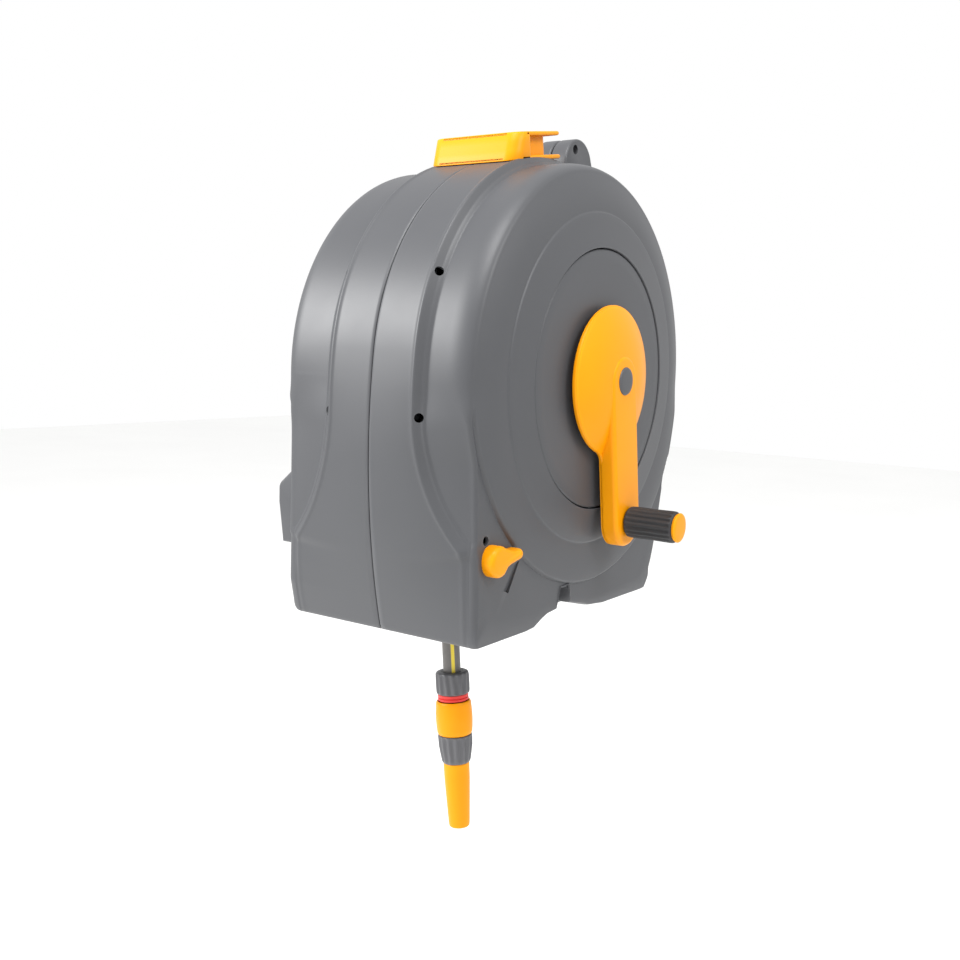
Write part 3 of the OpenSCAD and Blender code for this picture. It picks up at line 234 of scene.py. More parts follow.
def closed_mesh(name, points, faces):
    """A mesh from points in millimetres round the drum axis, with its faces turned outwards."""
    mesh = bpy.data.meshes.new(name)
    mesh.from_pydata([tuple(p) for p in in_frame(points)], [], faces)
    solid = bmesh.new()
    solid.from_mesh(mesh)
    bmesh.ops.recalc_face_normals(solid, faces=solid.faces)
    solid.to_mesh(mesh)
    solid.free()
    return mesh


def piece(name, points, faces, finish, body, slot, replaces=(), crisp=CRISP):
    """A closed mesh with its finish, riding on a body of the frame."""
    mesh = closed_mesh(name, points, faces)
    mesh.shade_smooth()
    mesh.set_sharp_from_angle(angle=math.radians(crisp))
    mesh.materials.append(finish)
    made = bpy.data.objects.new(name, mesh)
    bpy.context.collection.objects.link(made)
    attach(made, body)
    if replaces:
        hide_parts(*replaces)
    return made


def grid_faces(rows, columns, row_loop=False, column_loop=False):
    """Four-cornered faces of a grid of points, stored row by row."""
    faces = []
    for i in range(rows - (0 if row_loop else 1)):
        for j in range(columns - (0 if column_loop else 1)):
            k, m = (i + 1) % rows, (j + 1) % columns
            faces.append((i * columns + j, i * columns + m, k * columns + m, k * columns + j))
    return faces


def capped_faces(rows, columns):
    """Faces of a tube whose points are stored ring by ring, with a cap on each end."""
    last = (rows - 1) * columns
    caps = [tuple(range(columns))[::-1], tuple(range(last, last + columns))]
    return grid_faces(rows, columns, column_loop=True) + caps


print("pieces can be made")

# %% [markdown]
# ## Hanging hose
# The hose comes off the winding inside the case, passes the guide and hangs straight down into its connector. It could
# be a bevelled curve, but a tube mesh along a smooth path gives it the UV map that its yellow line needs. The route
# repeats the CAD's points and then runs on 10 mm into the nut.

# %% Hanging hose
HOSE_D, TAIL_SIDES = 17.5, 28
LINE_FACES = (0.72, -0.69, 0)
TAIL_ROUTE = [(0, -110, -130), (0, -103, -147), (0, -96, -164), (0, -90, -180), (0, -87, -196), (0, -85.5, -212),
              (0, -85, -228), (0.5, -85, -246), (2, -85, -262), (3.4, -85, -277), (4.8, -85, -291.7), (5.8, -85, -302)]


def smooth_path(points, steps):
    """A path through the points, rounded by a Catmull-Rom spline."""
    p = np.array(points, float)
    p = np.vstack([2 * p[0] - p[1], p, 2 * p[-1] - p[-2]])
    path = []
    for a, b, c, d in zip(p[:-3], p[1:-2], p[2:-1], p[3:]):
        for t in np.arange(steps) / steps:
            path.append(0.5 * (2 * b + (c - a) * t + (2 * a - 5 * b + 4 * c - d) * t**2
                               + (3 * b - a - 3 * c + d) * t**3))
    return np.array(path + [p[-2]])


def tube(path, radius, sides, start):
    """Points and faces of a closed tube along a path; start is the direction of its first side."""
    heading = np.gradient(path, axis=0)
    heading /= np.linalg.norm(heading, axis=1)[:, None]
    points = []
    for centre, ahead in zip(path, heading):
        u = np.array(start, float) - ahead * np.dot(start, ahead)
        u /= np.linalg.norm(u)
        v = np.cross(ahead, u)
        for angle in np.arange(sides) * 2 * math.pi / sides:
            points.append(centre + radius * (math.cos(angle) * u + math.sin(angle) * v))
    return points, capped_faces(len(path), sides)


def round_uv(obj, sides):
    """U runs once round the tube, so that a line can follow it."""
    uv = obj.data.uv_layers.new(name="around")
    for face in obj.data.polygons:
        corners = [obj.data.loops[i].vertex_index for i in face.loop_indices]
        us = [c % sides / sides for c in corners]
        if max(us) - min(us) > 0.5:
            us = [u + 1 if u < 0.5 else u for u in us]
        for i, u, c in zip(face.loop_indices, us, corners):
            uv.data[i].uv = (u, c // sides)


tail_path = smooth_path(TAIL_ROUTE, 4)
tail_points, tail_faces = tube(tail_path, HOSE_D / 2, TAIL_SIDES, LINE_FACES)
hanging_hose = piece("hanging_hose", tail_points, tail_faces, hose_pvc, "guide", "hose", ["hose_tail"])
round_uv(hanging_hose, TAIL_SIDES)

# %% [markdown]
# ## Case halves
# The case is two mouldings that meet at a seam round the middle. It could be modelled from a cylinder with booleans,
# but its blended shapes are easier to get as a loft: walk round the drum axis, and at each angle draw the section from
# the seam, over the raised band, down the step to the shoulder, round the corner and over the domed side to the cover.
# Everything that changes along the way, such as the flare of the band and the notch in the skirt, is a function of the
# angle. A soft minimum blends two outlines as a rolling cutter would. The floor rises behind the notch, so that its
# back wall hides the layering gear and still clears it.

# %% Outlines of the case, by angle round the axle
case_low, case_high = from_axle("case_right")
BAND_R = 212.0
BAND_HALF_W = 46.5
BASE_DROP = -case_low[2]
FRONT_REACH = -case_low[1]
CASE_HALF_W = 98.0
COVER_X = from_axle("cover_right")[1][0]
COVER_R = 125.0
RING_R, RING_RISE = 159.0, 9.5
SHOULDER_R, DOME_R = 204.5, 199.5
SHOULDER_FRONT = 193.0
FRONT_ARC_R = 700.0
FLARE_TOP, FLARE_R = -28.0, 200.0
DRAFT_TOP, DRAFT = -30.0, 0.0375
INLET_SIDE_W, INLET_SIDE_FRONT = 11.0, 200.0
REAR_FOOT, REAR_BEVEL = (150.0, -212.0), [(132, -BASE_DROP), (150, -212), (250, -112)]
SKIRT_LINE = [(-200, -230), (-112, -230), (-98, -229), (-84, -223), (-74, -220), (-57, -218.5), (-53, -199),
              (-34, -198), (-32, -216), (-24, -218), (10, -226.5), (37, -230)]
FLOOR_LINE = [(-400, -BASE_DROP), (-66, -BASE_DROP), (-57, -225), (-46, -223.5), (-38, -219.5), (-24, -218.5),
              (10, -227), (37, -BASE_DROP)]
FAR_OUT = 400.0
NOTCH_X = 90.0


def soft_min(a, b, blend):
    """The lower of two values, rounded where they cross."""
    return -blend * np.logaddexp(-a / blend, -b / blend)


def ease(t):
    """A smooth step from 0 to 1."""
    t = np.clip(t, 0, 1)
    return t * t * (3 - 2 * t)


def rear_wall(angle, radius):
    """Radius of the straight wall from the round body down to the rear foot."""
    foot_r, foot_angle = np.hypot(*REAR_FOOT), math.atan2(REAR_FOOT[1], REAR_FOOT[0])
    touch = foot_angle + math.acos(radius / foot_r)
    turn = np.clip(touch - (angle - 2 * math.pi), 0, 1.2)
    return np.where(angle > math.pi, radius / np.cos(turn), radius)


def panel_radius(angle):
    """Outline of the band and the bowed front panel, down to the floor."""
    centre = np.array([FRONT_ARC_R - FRONT_REACH, 0.0])
    centre[1] = -math.sqrt((FRONT_ARC_R - BAND_R) ** 2 - centre[0] ** 2)
    along = np.cos(angle) * centre[0] + np.sin(angle) * centre[1]
    bow = along + np.sqrt(along**2 - centre @ centre + FRONT_ARC_R**2)
    meets = math.pi - math.atan2(-centre[1], centre[0])
    in_front = (angle > meets) & (angle < 1.5 * math.pi)
    return np.where(in_front, bow, rear_wall(angle, BAND_R))


def shoulder_radius(angle, front_reach):
    """Outline of the rounded body beside the band, with its upright front."""
    upright = front_reach / np.maximum(-np.cos(angle), 0.02)
    in_front = (angle > math.pi) & (angle < 1.5 * math.pi)
    front = -soft_min(-np.minimum(upright, FAR_OUT), np.full_like(angle, -SHOULDER_R), 1.5)
    return np.where(in_front, front, rear_wall(angle, SHOULDER_R))


def floor_radius(angle, line):
    """Outline of the underside: a line of points from front to rear, as seen from the side."""
    line = np.array(line, float)
    place = np.linspace(0, len(line) - 1, 60 * len(line))
    y, z = (np.interp(place, np.arange(len(line)), line[:, k]) for k in (0, 1))
    return np.interp(angle, np.arctan2(z, y) % (2 * math.pi), np.hypot(y, z), left=FAR_OUT, right=FAR_OUT)


def band_edge(height):
    """Half the width of the band, which flares into the front panel below the axle."""
    down = np.clip(FLARE_TOP - height, 0, FLARE_R)
    return np.minimum(BAND_HALF_W + FLARE_R - np.sqrt(FLARE_R**2 - down**2), CASE_HALF_W)


print("case from", case_low.round(1), "to", case_high.round(1), "mm")

# %% [markdown]
# A section is laid out point by point from the seam to the cover. Four blends from 0 to 1 say how much of each change
# there is at an angle: below the axle, at the front, where the step runs out into the panel, and near the floor. The
# step has a small bead at its lip and at its foot, which catch the light as thin lines.

# %% Section of a case half at every angle
SECTIONS = 900
SEAM_GAP = 0.35
STEP_W = 8.0
LIP_D, LIP_W, FOOT_D, FOOT_W = 1.0, 2.4, 1.5, 1.4
CORNER_DROP, STEP_D = 9.0, 7.5
DOME_STEP, DOME_EDGE = 1.0, 3.0
SEAM_BEVEL, EDGE_MARGIN = 0.9, 6.0
CORNER_W = {1: (20.0, 15.5), -1: (14.0, 6.0)}
CORNER_AT_FLOOR = {1: 6.0, -1: 1.0}
FLANK_SHARES = (0.3, 0.6, 0.8, 1)
DOME_SHARES = (0.03, 0.06, 0.1, 0.18, 0.3, 0.42, 0.55, 0.68, 0.81, 0.92, 1)
RING_ROWS = (160.2, 159.6, 159, 158.4, 157.5, 152, 146, 140, 134, 129, 127)
COVER_SEAT = ((0.15, 126.2), (0.6, 125.7), (1.4, 125.5), (5.0, 125.5))


def widening(height, side):
    """How much a case half widens: the mould's draft opens it downwards, and the inlet half is wider all over."""
    draft = DRAFT * np.clip(DRAFT_TOP - height, 0, 200)
    return draft if side > 0 else np.maximum(draft, INLET_SIDE_W)


def side_x(radius, wider, crease):
    """Half the width of the domed side at a radius."""
    rise = np.clip((DOME_R - radius) / (DOME_R - RING_R), 0, 1)
    dome = CASE_HALF_W + (RING_RISE - DOME_EDGE * crease) * np.sin(rise * math.pi / 2) + wider * (1 - ease(rise))
    dome += DOME_EDGE * crease * ease((DOME_R + 0.4 - radius) / 2.4)
    inner = COVER_X - CASE_HALF_W - RING_RISE - DOME_STEP
    ring = DOME_STEP * ease((RING_R + 1 - radius) / 2)
    return dome + ring + inner * np.clip((RING_R - radius) / (RING_R - COVER_R), 0, 1)


def case_section(side):
    """Across and radius of each point of the section, for every angle: two grids, one row per angle."""
    angle = np.linspace(0, 2 * math.pi, SECTIONS, endpoint=False)
    panel = panel_radius(angle)
    shoulder = shoulder_radius(angle, SHOULDER_FRONT if side > 0 else INLET_SIDE_FRONT)
    height = panel * np.sin(angle)
    low = ease((-height - 5) / 40)
    front = ease(0.5 - np.cos(angle) / 0.3)
    low_front = low * front
    runs_out = ease((band_edge(height) - 90) / 14) * front
    step_w = STEP_W - 4 * runs_out
    wider = widening(height, side)
    half_w = CASE_HALF_W + wider
    at_floor = ease((-height - BASE_DROP + 14) / 10)
    corner_w = CORNER_W[side][0] - CORNER_W[side][1] * low_front + 3 * runs_out
    corner_drop = CORNER_DROP - 5 * low_front + 6 * runs_out - CORNER_AT_FLOOR[side] * at_floor
    step = np.clip(panel - shoulder, 0, STEP_D - 2.5 * low_front) * (1 - runs_out)
    edge = np.minimum(band_edge(height), half_w - corner_w - step_w - 0.2)
    flat_floor = floor_radius(angle, FLOOR_LINE + REAR_BEVEL)
    skirt = floor_radius(angle, SKIRT_LINE + REAR_BEVEL)
    across, radius = [], []

    def lay(x):
        """Adds a point of the section on the band, the step or the shoulder."""
        crown = np.maximum(panel - shoulder - step, 0) * np.clip(x / (half_w - corner_w), 0, 1) ** 2.2
        beyond = np.clip((x - edge) / step_w, 0, 1) ** 1.6
        lip = LIP_D * np.exp(-(((x - edge) / LIP_W) ** 2))
        foot = FOOT_D * np.exp(-(((x - edge - step_w) / FOOT_W) ** 2))
        top = panel - crown - step * beyond + (lip + foot) * (1 - runs_out)
        floor = flat_floor + (skirt - flat_floor) * ease((x - NOTCH_X) / 3)
        across.append(x)
        radius.append(soft_min(top, floor, 2.2 + 5 * ease((np.cos(angle) - 0.3) / 0.2)))

    lay(np.full(SECTIONS, SEAM_GAP))
    radius[0] = radius[0] - SEAM_BEVEL
    lay(np.full(SECTIONS, SEAM_GAP + SEAM_BEVEL))
    for t in np.linspace(0.06, 1, 14):
        lay(SEAM_GAP + SEAM_BEVEL + t * (edge - EDGE_MARGIN - SEAM_GAP - SEAM_BEVEL))
    corner_x = half_w - corner_w
    start = np.minimum(edge + step_w + 4, corner_x - 0.1)
    for t in np.linspace(0, 1, 31)[1:]:
        lay(edge - EDGE_MARGIN + t * (start - edge + EDGE_MARGIN))
    for t in np.linspace(0, 1, 10)[1:]:
        lay(start + t * (corner_x - start))
    rim = radius[-1]
    end_x = side_x(rim - corner_drop, wider, low)
    for t in np.linspace(0, 1, 9)[1:]:
        across.append(corner_x + (end_x - corner_x) * math.sin(t * math.pi / 2))
        radius.append(rim - corner_drop * (1 - math.cos(t * math.pi / 2)))
    inner = np.minimum(DOME_R + 0.4, rim - corner_drop - 1.5)
    flank = [rim - corner_drop + t * (inner - rim + corner_drop) for t in FLANK_SHARES]
    flank += [inner + t * (RING_R + 2.5 - inner) for t in DOME_SHARES]
    flank += [np.full(SECTIONS, r) for r in RING_ROWS]
    for r in flank:
        radius.append(r)
        across.append(side_x(r, widening(r * np.sin(angle), side), low))
    for drop, r in COVER_SEAT:
        radius.append(np.full(SECTIONS, r))
        across.append(np.full(SECTIONS, COVER_X - drop))
    return angle, np.array(across).T, np.array(radius).T


sections = {side: case_section(side) for side in (1, -1)}
section_r = sections[1][2]
print("case section:", section_r.shape, "points, radius", section_r.min().round(1), "to", section_r.max().round(1))

# %% [markdown]
# Round pieces, such as covers, knuckles and nozzle parts, come from a profile that is spun about an axis. A modifier
# could do that too, but functions give whole, closed meshes, and can wave the radius for grip flutes.

# %% Spun forms
def spin(profile, sides, flutes=0, depth=None):
    """Points of a profile of (along, radius) points spun about its axis; flutes wave the radius."""
    profile = np.array(profile, float)
    depth = np.zeros(len(profile)) if depth is None else np.array(depth, float)
    angles = np.arange(sides) * 2 * math.pi / sides
    wave = 0.5 - 0.5 * np.cos(angles * flutes) if flutes else np.zeros(sides)
    points = []
    for (along, radius), cut_in in zip(profile, depth):
        for a, w in zip(angles, wave):
            r = radius - cut_in * w
            points.append((along, r * math.cos(a), r * math.sin(a)))
    return np.array(points)


def closed_spin(profile, sides, flutes=0, depth=None):
    """A spun form whose profile is a closed loop, such as a ring."""
    return spin(profile, sides, flutes, depth), grid_faces(len(profile), sides, row_loop=True, column_loop=True)


def capped_spin(profile, sides, flutes=0, depth=None):
    """A spun form with flat ends."""
    return spin(profile, sides, flutes, depth), capped_faces(len(profile), sides)


def rounded_bar(low, high, r_in, r_out, edge, steps=4):
    """Closed profile of a ring from low to high with rounded outer edges."""
    bends = np.linspace(0, math.pi / 2, steps + 1)
    first = [(low + edge * (1 - math.cos(b)), r_out - edge * (1 - math.sin(b))) for b in bends]
    return [(low, r_in)] + first + [(low + high - x, r) for x, r in first[::-1]] + [(high, r_in)]


def stand(points, at, upright=False):
    """Moves spun points to a place: along X, or with the axis upright."""
    points = np.array(points)
    if upright:
        points = points[:, [1, 2, 0]]
    return points + np.array(at, float)


def joined(*forms):
    """Several forms as one set of points and faces."""
    points, faces = [], []
    for form_points, form_faces in forms:
        faces += [tuple(i + len(points) for i in f) for f in form_faces]
        points += [tuple(p) for p in form_points]
    return points, faces


print("spun forms ready")

# %% [markdown]
# Each half is a section of its own side, mirrored for the inlet. A second skin a wall's thickness inside the first
# closes the moulding, where a Solidify modifier would fold in the tight grooves. A tongue on the crank half bridges the
# seam from inside, as on a real case, so that no light comes through. The hose slot in the floor, the wells of the
# screws and the recess under the lever are then cut with Boolean modifiers, because a cutter of the right shape is
# simpler than bending the section round a hole.

# %% Case halves
WALL, CASE_CRISP = 3.0, 50
HOSE_SLOT = [(-99, -250), (-71, -250), (-71, -215), (-99, -215)]
SLOT_HALF_W = 54.0
STEP_SCREWS, SCREW_X, SCREW_LEAN = [154.0, 189.0], BAND_HALF_W + 5.0, math.radians(45)
CORNER_SCREW = (96.5, -177.0, -137.0)
SCREW_WELL_R, SCREW_WELL_L = 4.2, 11.0
SEAM_TONGUE_W, SEAM_TONGUE_T, SEAM_PLAY = 4.0, 1.5, 0.4
LEVER_RECESS = [(-123, -161), (-133.5, -165), (-149, -185), (-141.5, -188.5)]
RECESS_X = 101.4, 115.0


def bake(obj):
    """Applies an object's modifiers to its mesh."""
    evaluated = obj.evaluated_get(bpy.context.evaluated_depsgraph_get())
    baked = bpy.data.meshes.new_from_object(evaluated)
    obj.modifiers.clear()
    obj.data = baked


def cut(obj, points, faces):
    """Cuts a closed form out of an object."""
    mesh = closed_mesh("cutter", points, faces)
    cutter = bpy.data.objects.new("cutter", mesh)
    bpy.context.collection.objects.link(cutter)
    knife = obj.modifiers.new("cut", "BOOLEAN")
    knife.object, knife.operation, knife.solver = cutter, "DIFFERENCE", "MANIFOLD"
    bake(obj)
    bpy.data.objects.remove(cutter)
    bpy.data.meshes.remove(mesh)


def slab(outline, low, high, edge=0.0, steps=4, low_edge=None):
    """Points and faces of a slab along X with rounded edges: outline is (y, z) points, in order."""
    outline = np.array(outline, float)
    before, after = np.roll(outline, 1, axis=0), np.roll(outline, -1, axis=0)
    way = after - before
    way /= np.linalg.norm(way, axis=1)[:, None]
    turn = np.sum(before[:, 0] * after[:, 1] - before[:, 1] * after[:, 0])
    inward = np.stack([-way[:, 1], way[:, 0]], axis=1) * (1 if turn > 0 else -1)
    bends = np.linspace(0, math.pi / 2, steps + 1)
    first, last = (np.unique([(r * (1 - math.sin(b)), r * (1 - math.cos(b))) for b in bends], axis=0)
                   for r in (edge if low_edge is None else low_edge, edge))
    rows = [(low + x, inset) for inset, x in first[::-1]] + [(high - x, inset) for inset, x in last]
    points = []
    for x, inset in rows:
        for p in outline + inward * inset:
            points.append((x, p[0], p[1]))
    return np.array(points), capped_faces(len(rows), len(outline))


def arc(centre, radius, start, end, steps):
    """Points of an arc in the (y, z) plane, angles in degrees."""
    return [(centre[0] + radius * math.cos(math.radians(a)), centre[1] + radius * math.sin(math.radians(a)))
            for a in np.linspace(start, end, steps)]


def round_axle(across, angle, radius):
    """A grid of points round the drum axis, with one row per angle."""
    return np.stack([across, radius * np.cos(angle)[:, None], radius * np.sin(angle)[:, None]], axis=-1).reshape(-1, 3)


def case_half(side):
    """One half of the case: side 1 has the crank and -1 the inlet."""
    case_angle, case_across, case_radius = sections[side]
    along, down = np.gradient(case_across, axis=1), np.gradient(case_radius, axis=1)
    length = np.hypot(along, down)
    inner_across = np.maximum(case_across + WALL * down / length, SEAM_GAP)
    across = np.hstack([case_across, inner_across[:, ::-1]])
    radius = np.hstack([case_radius, (case_radius - WALL * along / length)[:, ::-1]])
    form = (round_axle(side * across, case_angle, radius),
            grid_faces(*across.shape, row_loop=True, column_loop=True))
    if side > 0:
        under = radius[:, -1:] - SEAM_PLAY - np.array([[0, 0, SEAM_TONGUE_T, SEAM_TONGUE_T]])
        tongue_x = np.broadcast_to(SEAM_TONGUE_W * np.array([-1, 1, 1, -1]), under.shape)
        form = joined(form, (round_axle(tongue_x, case_angle, under),
                             grid_faces(*under.shape, row_loop=True, column_loop=True)))
    name, node = ("case_crank_side", "case_right") if side > 0 else ("case_inlet_side", "case_left")
    half = piece(name, *form, case_plastic, "case", "casing", [node], crisp=CASE_CRISP)
    cut(half, *slab(HOSE_SLOT, -SLOT_HALF_W, SLOT_HALF_W))
    well, well_faces = capped_spin([(0, SCREW_WELL_R), (SCREW_WELL_L, SCREW_WELL_R)], 32)
    cut(half, (well + CORNER_SCREW) * (side, 1, 1), well_faces)
    for turn in np.radians(STEP_SCREWS):
        row = case_angle.searchsorted(turn)
        r = case_radius[row, case_across[row].searchsorted(SCREW_X)]
        sideways, outward = np.array([1, 0, 0]), np.array([0, math.cos(turn), math.sin(turn)])
        drilled = np.stack([sideways * math.sin(SCREW_LEAN) + outward * math.cos(SCREW_LEAN),
                            sideways * math.cos(SCREW_LEAN) - outward * math.sin(SCREW_LEAN),
                            np.cross(outward, sideways)])
        placed = (well - (SCREW_WELL_L / 2, 0, 0)) @ drilled + sideways * SCREW_X + outward * r
        cut(half, placed * (side, 1, 1), well_faces)
    if side > 0:
        cut(half, *slab(LEVER_RECESS, *RECESS_X))
    half.data.set_sharp_from_angle(angle=math.radians(CASE_CRISP))
    return half


case_halves = {side: case_half(side) for side in (1, -1)}
print("case halves:", [len(h.data.polygons) for h in case_halves.values()], "faces")

# %% [markdown]
# ## Hump, hinge knuckles and tongue
# At the top rear a rounded hump with a cross hole runs back into the upper hinge knuckle, and a tongue under the base
# carries the lower one. Hump and tongue are slabs with rounded edges, drawn from the side. A hinge knuckle is a ring,
# spun about the hinge.

# %% Hump, knuckle and tongue on each half
HUMP_AT, HUMP_R, HUMP_HALF_W = (98.0, 222.0), 28.0, 20.0
HOLE_AT, HOLE_R = (89.0, 238.0), 5.0
HINGE_Y = joint_at["reel_swing"][1] - axle_at[1]
KNUCKLE_LOW, KNUCKLE_HIGH, KNUCKLE_R, PIN_HOLE_R = 190.0, 222.0, 18.0, 8.0
TONGUE_TOP, TONGUE_FRONT, TONGUE_HALF_W = 22.0 - BASE_DROP, 120.0, 17.5
KNUCKLE_EDGE, HUMP_EDGE = 1.5, 2.5


def hump_half(side):
    """The hump on one half of the case, from the seam to its own side."""
    bridge = [(128, KNUCKLE_HIGH), (HINGE_Y - 12, KNUCKLE_HIGH), (HINGE_Y - 12, KNUCKLE_LOW), (150, 186), (128, 160)]
    outline = [(70, KNUCKLE_LOW)] + arc(HUMP_AT, HUMP_R, 180, 20, 26) + bridge
    low, high = sorted((side * SEAM_GAP, side * HUMP_HALF_W))
    name = "hump_crank_side" if side > 0 else "hump_inlet_side"
    hump = piece(name, *slab(outline, low, high, HUMP_EDGE), case_plastic, "case", "casing")
    hole, hole_faces = capped_spin([(low - 5, HOLE_R), (high + 5, HOLE_R)], 40)
    cut(hump, stand(hole, (0, *HOLE_AT)), hole_faces)
    hump.data.set_sharp_from_angle(angle=math.radians(CRISP))


def knuckle(low, high):
    """An upright ring on the hinge's axis."""
    points, faces = closed_spin(rounded_bar(low, high, PIN_HOLE_R, KNUCKLE_R, KNUCKLE_EDGE), 56)
    return stand(points, (0, HINGE_Y, 0), True), faces


for side in (1, -1):
    hump_half(side)
tongue_outline = [(TONGUE_FRONT, -BASE_DROP), (HINGE_Y - 10, -BASE_DROP),
                  (HINGE_Y - 10, TONGUE_TOP), (TONGUE_FRONT, TONGUE_TOP)]
tongue = slab(tongue_outline, -TONGUE_HALF_W, TONGUE_HALF_W, KNUCKLE_EDGE)
knuckles = joined(knuckle(KNUCKLE_LOW, KNUCKLE_HIGH), knuckle(-BASE_DROP, TONGUE_TOP), tongue)
piece("hinge_knuckles", *knuckles, case_plastic, "case", "casing")
print("hinge at", HINGE_Y, "mm behind the drum axis")

# %% [markdown]
# ## Side covers
# A round cover closes each dome and carries the drum's bearing. The photograph shows it as a slightly domed disc in a
# thin dark gap, so it is spun from a profile with a rounded rim. The crank's shaft passes through one, and the other is
# whole.

# %% Side covers
COVER_GAP, COVER_T = 0.6, 4.0
COVER_HUB_R, COVER_HUB_L, SHAFT_HOLE_R, CAP_R = 22.0, 16.7, 14.0, 0.5


def cover_profile(bore):
    """Profile of a cover, from its bore over the domed face and the rim to the hub behind it."""
    rim = COVER_R - COVER_GAP
    face = [(COVER_X - 0.9 * (r / rim) ** 2, r) for r in np.linspace(bore, rim - 2, 12)]
    edge = [(COVER_X - 1.2, rim - 1.1), (COVER_X - 1.7, rim - 0.4), (COVER_X - 2.4, rim)]
    back_x, hub_x = COVER_X - COVER_T, COVER_X - COVER_HUB_L
    return face + edge + [(back_x, rim), (back_x, COVER_HUB_R), (hub_x, COVER_HUB_R), (hub_x, bore)]


right_cover = closed_spin(cover_profile(SHAFT_HOLE_R), 160)
left_points, left_faces = capped_spin(cover_profile(CAP_R), 160)
piece("cover_crank_side", *right_cover, case_plastic, "case", "casing", ["cover_right"])
piece("cover_inlet_side", left_points * (-1, 1, 1), left_faces, case_plastic, "case", "casing", ["cover_left"])
print("covers of", COVER_R, "mm radius at", COVER_X.round(1), "mm")

# %% [markdown]
# ## Crank
# The crank is one orange moulding: a domed round plate on the axle, with a straight arm that leans to the rear. The
# dome is spun. The arm is a slab with well rounded edges. A thin slab with the outline of both gives the rim its even
# edge and the small fillets where the arm leaves the plate.

# %% Crank
crank_low, crank_high = from_axle("crank_arm")
CRANK_BACK, CRANK_FACE = crank_low[0], crank_high[0]
GRIP_AT = joint_at["grip_spin"] - axle_at
PLATE_R, ARM_HALF_W = 72.0, 25.0
ARM_LEAN, GRIP_REACH = math.atan2(GRIP_AT[1], -GRIP_AT[2]), math.hypot(GRIP_AT[1], GRIP_AT[2])
RIM_T, RIM_EDGE, FILLET_R, ARM_EDGE, DOME_POWER = 4.5, 1.6, 16.0, 5.0, 2.6


def tilted(points, angle):
    """Points turned about the drum axis."""
    x, y, z = np.array(points, float).T
    return np.stack([x, y * math.cos(angle) - z * math.sin(angle), y * math.sin(angle) + z * math.cos(angle)], axis=1)


def crank_outline():
    """The round plate, a fillet on each side, and the arm with its round end."""
    fillet_y = ARM_HALF_W + FILLET_R
    fillet_z = -math.sqrt((PLATE_R + FILLET_R) ** 2 - fillet_y**2)
    meet = math.degrees(math.atan2(-fillet_z, fillet_y))
    return (arc((0, 0), PLATE_R, -meet, 180 + meet, 90)
            + arc((-fillet_y, fillet_z), FILLET_R, meet, 0, 10)[1:]
            + arc((0, -GRIP_REACH), ARM_HALF_W, 180, 360, 30)
            + arc((fillet_y, fillet_z), FILLET_R, 180, 180 - meet, 10)[:-1])


dome_profile = [(CRANK_BACK + 1, PLATE_R - 3)]
dome_rise = CRANK_FACE - CRANK_BACK - RIM_T
for r in list(np.linspace(PLATE_R - 1.5, 20, 26)) + [8.0]:
    dome_profile.append((CRANK_BACK + RIM_T - 0.6 + dome_rise * (1 - (r / PLATE_R) ** DOME_POWER), r))
rim, rim_faces = slab(crank_outline(), CRANK_BACK, CRANK_BACK + RIM_T, RIM_EDGE, 5)
arm_outline = arc((0, 0), ARM_HALF_W, 0, 180, 30) + arc((0, -GRIP_REACH), ARM_HALF_W, 180, 360, 30)
bar, bar_faces = slab(arm_outline, CRANK_BACK + 0.5, CRANK_FACE, ARM_EDGE, 6, 0)
crank = joined((tilted(rim, ARM_LEAN), rim_faces), (tilted(bar, ARM_LEAN), bar_faces), capped_spin(dome_profile, 144))
piece("crank", *crank, orange_plastic, "drum", "orange", ["crank_arm"])
print("crank from", CRANK_BACK.round(1), "to", CRANK_FACE.round(1), "mm across")

# %% [markdown]
# ## Button and grip
# A grey button hides the crank's screw. The grip is soft black rubber with ribs along it, so that a wet hand doesn't
# slip, and an orange disc closes its end. Both are spun, and the ribs come from a wave round the grip.

# %% Button and grip
BUTTON = [(-3, 13.4), (0.3, 13.4), (1.1, 12.9), (1.5, 12), (1.7, 8), (1.8, 3)]
END_DISC = [(-1.2, 14.4), (-0.4, 13.9), (0, 13), (0.3, 9), (0.4, 3)]
GRIP_RIBS, RIB_DEPTH = 18, 1.3
GRIP_FORM = [(0, -2.6, 0), (0.01, -1.2, 0), (0.04, 0, 0.2), (0.1, 0.2, 1), (0.3, 0.3, 1), (0.5, 0, 1), (0.7, 0.2, 1),
             (0.9, 0.3, 1), (0.96, 0.1, 0.2), (0.99, -1.0, 0), (1, -2.2, 0)]
button = capped_spin([(CRANK_FACE + x, r) for x, r in BUTTON], 64)
piece("crank_button_cap", *button, case_plastic, "drum", "casing", ["crank_button"])
grip_low, grip_high = from_axle("crank_grip")
GRIP_R = (grip_high[1] - grip_low[1]) / 2
grip_profile, grip_depth = [], []
for share, swell, ribbed in GRIP_FORM:
    grip_profile.append((grip_low[0] + share * (grip_high[0] - grip_low[0]), GRIP_R + swell - 0.3))
    grip_depth.append(RIB_DEPTH * ribbed)
grip, grip_faces = capped_spin(grip_profile, 180, GRIP_RIBS, grip_depth)
piece("ribbed_grip", stand(grip, (0, *GRIP_AT[1:])), grip_faces, grip_rubber, "grip", "soft_black", ["crank_grip"])
cap_low, cap_high = from_axle("grip_cap")
cap, cap_faces = capped_spin([(cap_low[0] - 0.3, 13.4)] + [(cap_high[0] + x, r) for x, r in END_DISC], 64)
piece("grip_end_disc", stand(cap, (0, *GRIP_AT[1:])), cap_faces, orange_plastic, "grip", "orange", ["grip_cap"])
print("grip of", GRIP_R.round(1), "mm radius at", GRIP_AT.round(1))

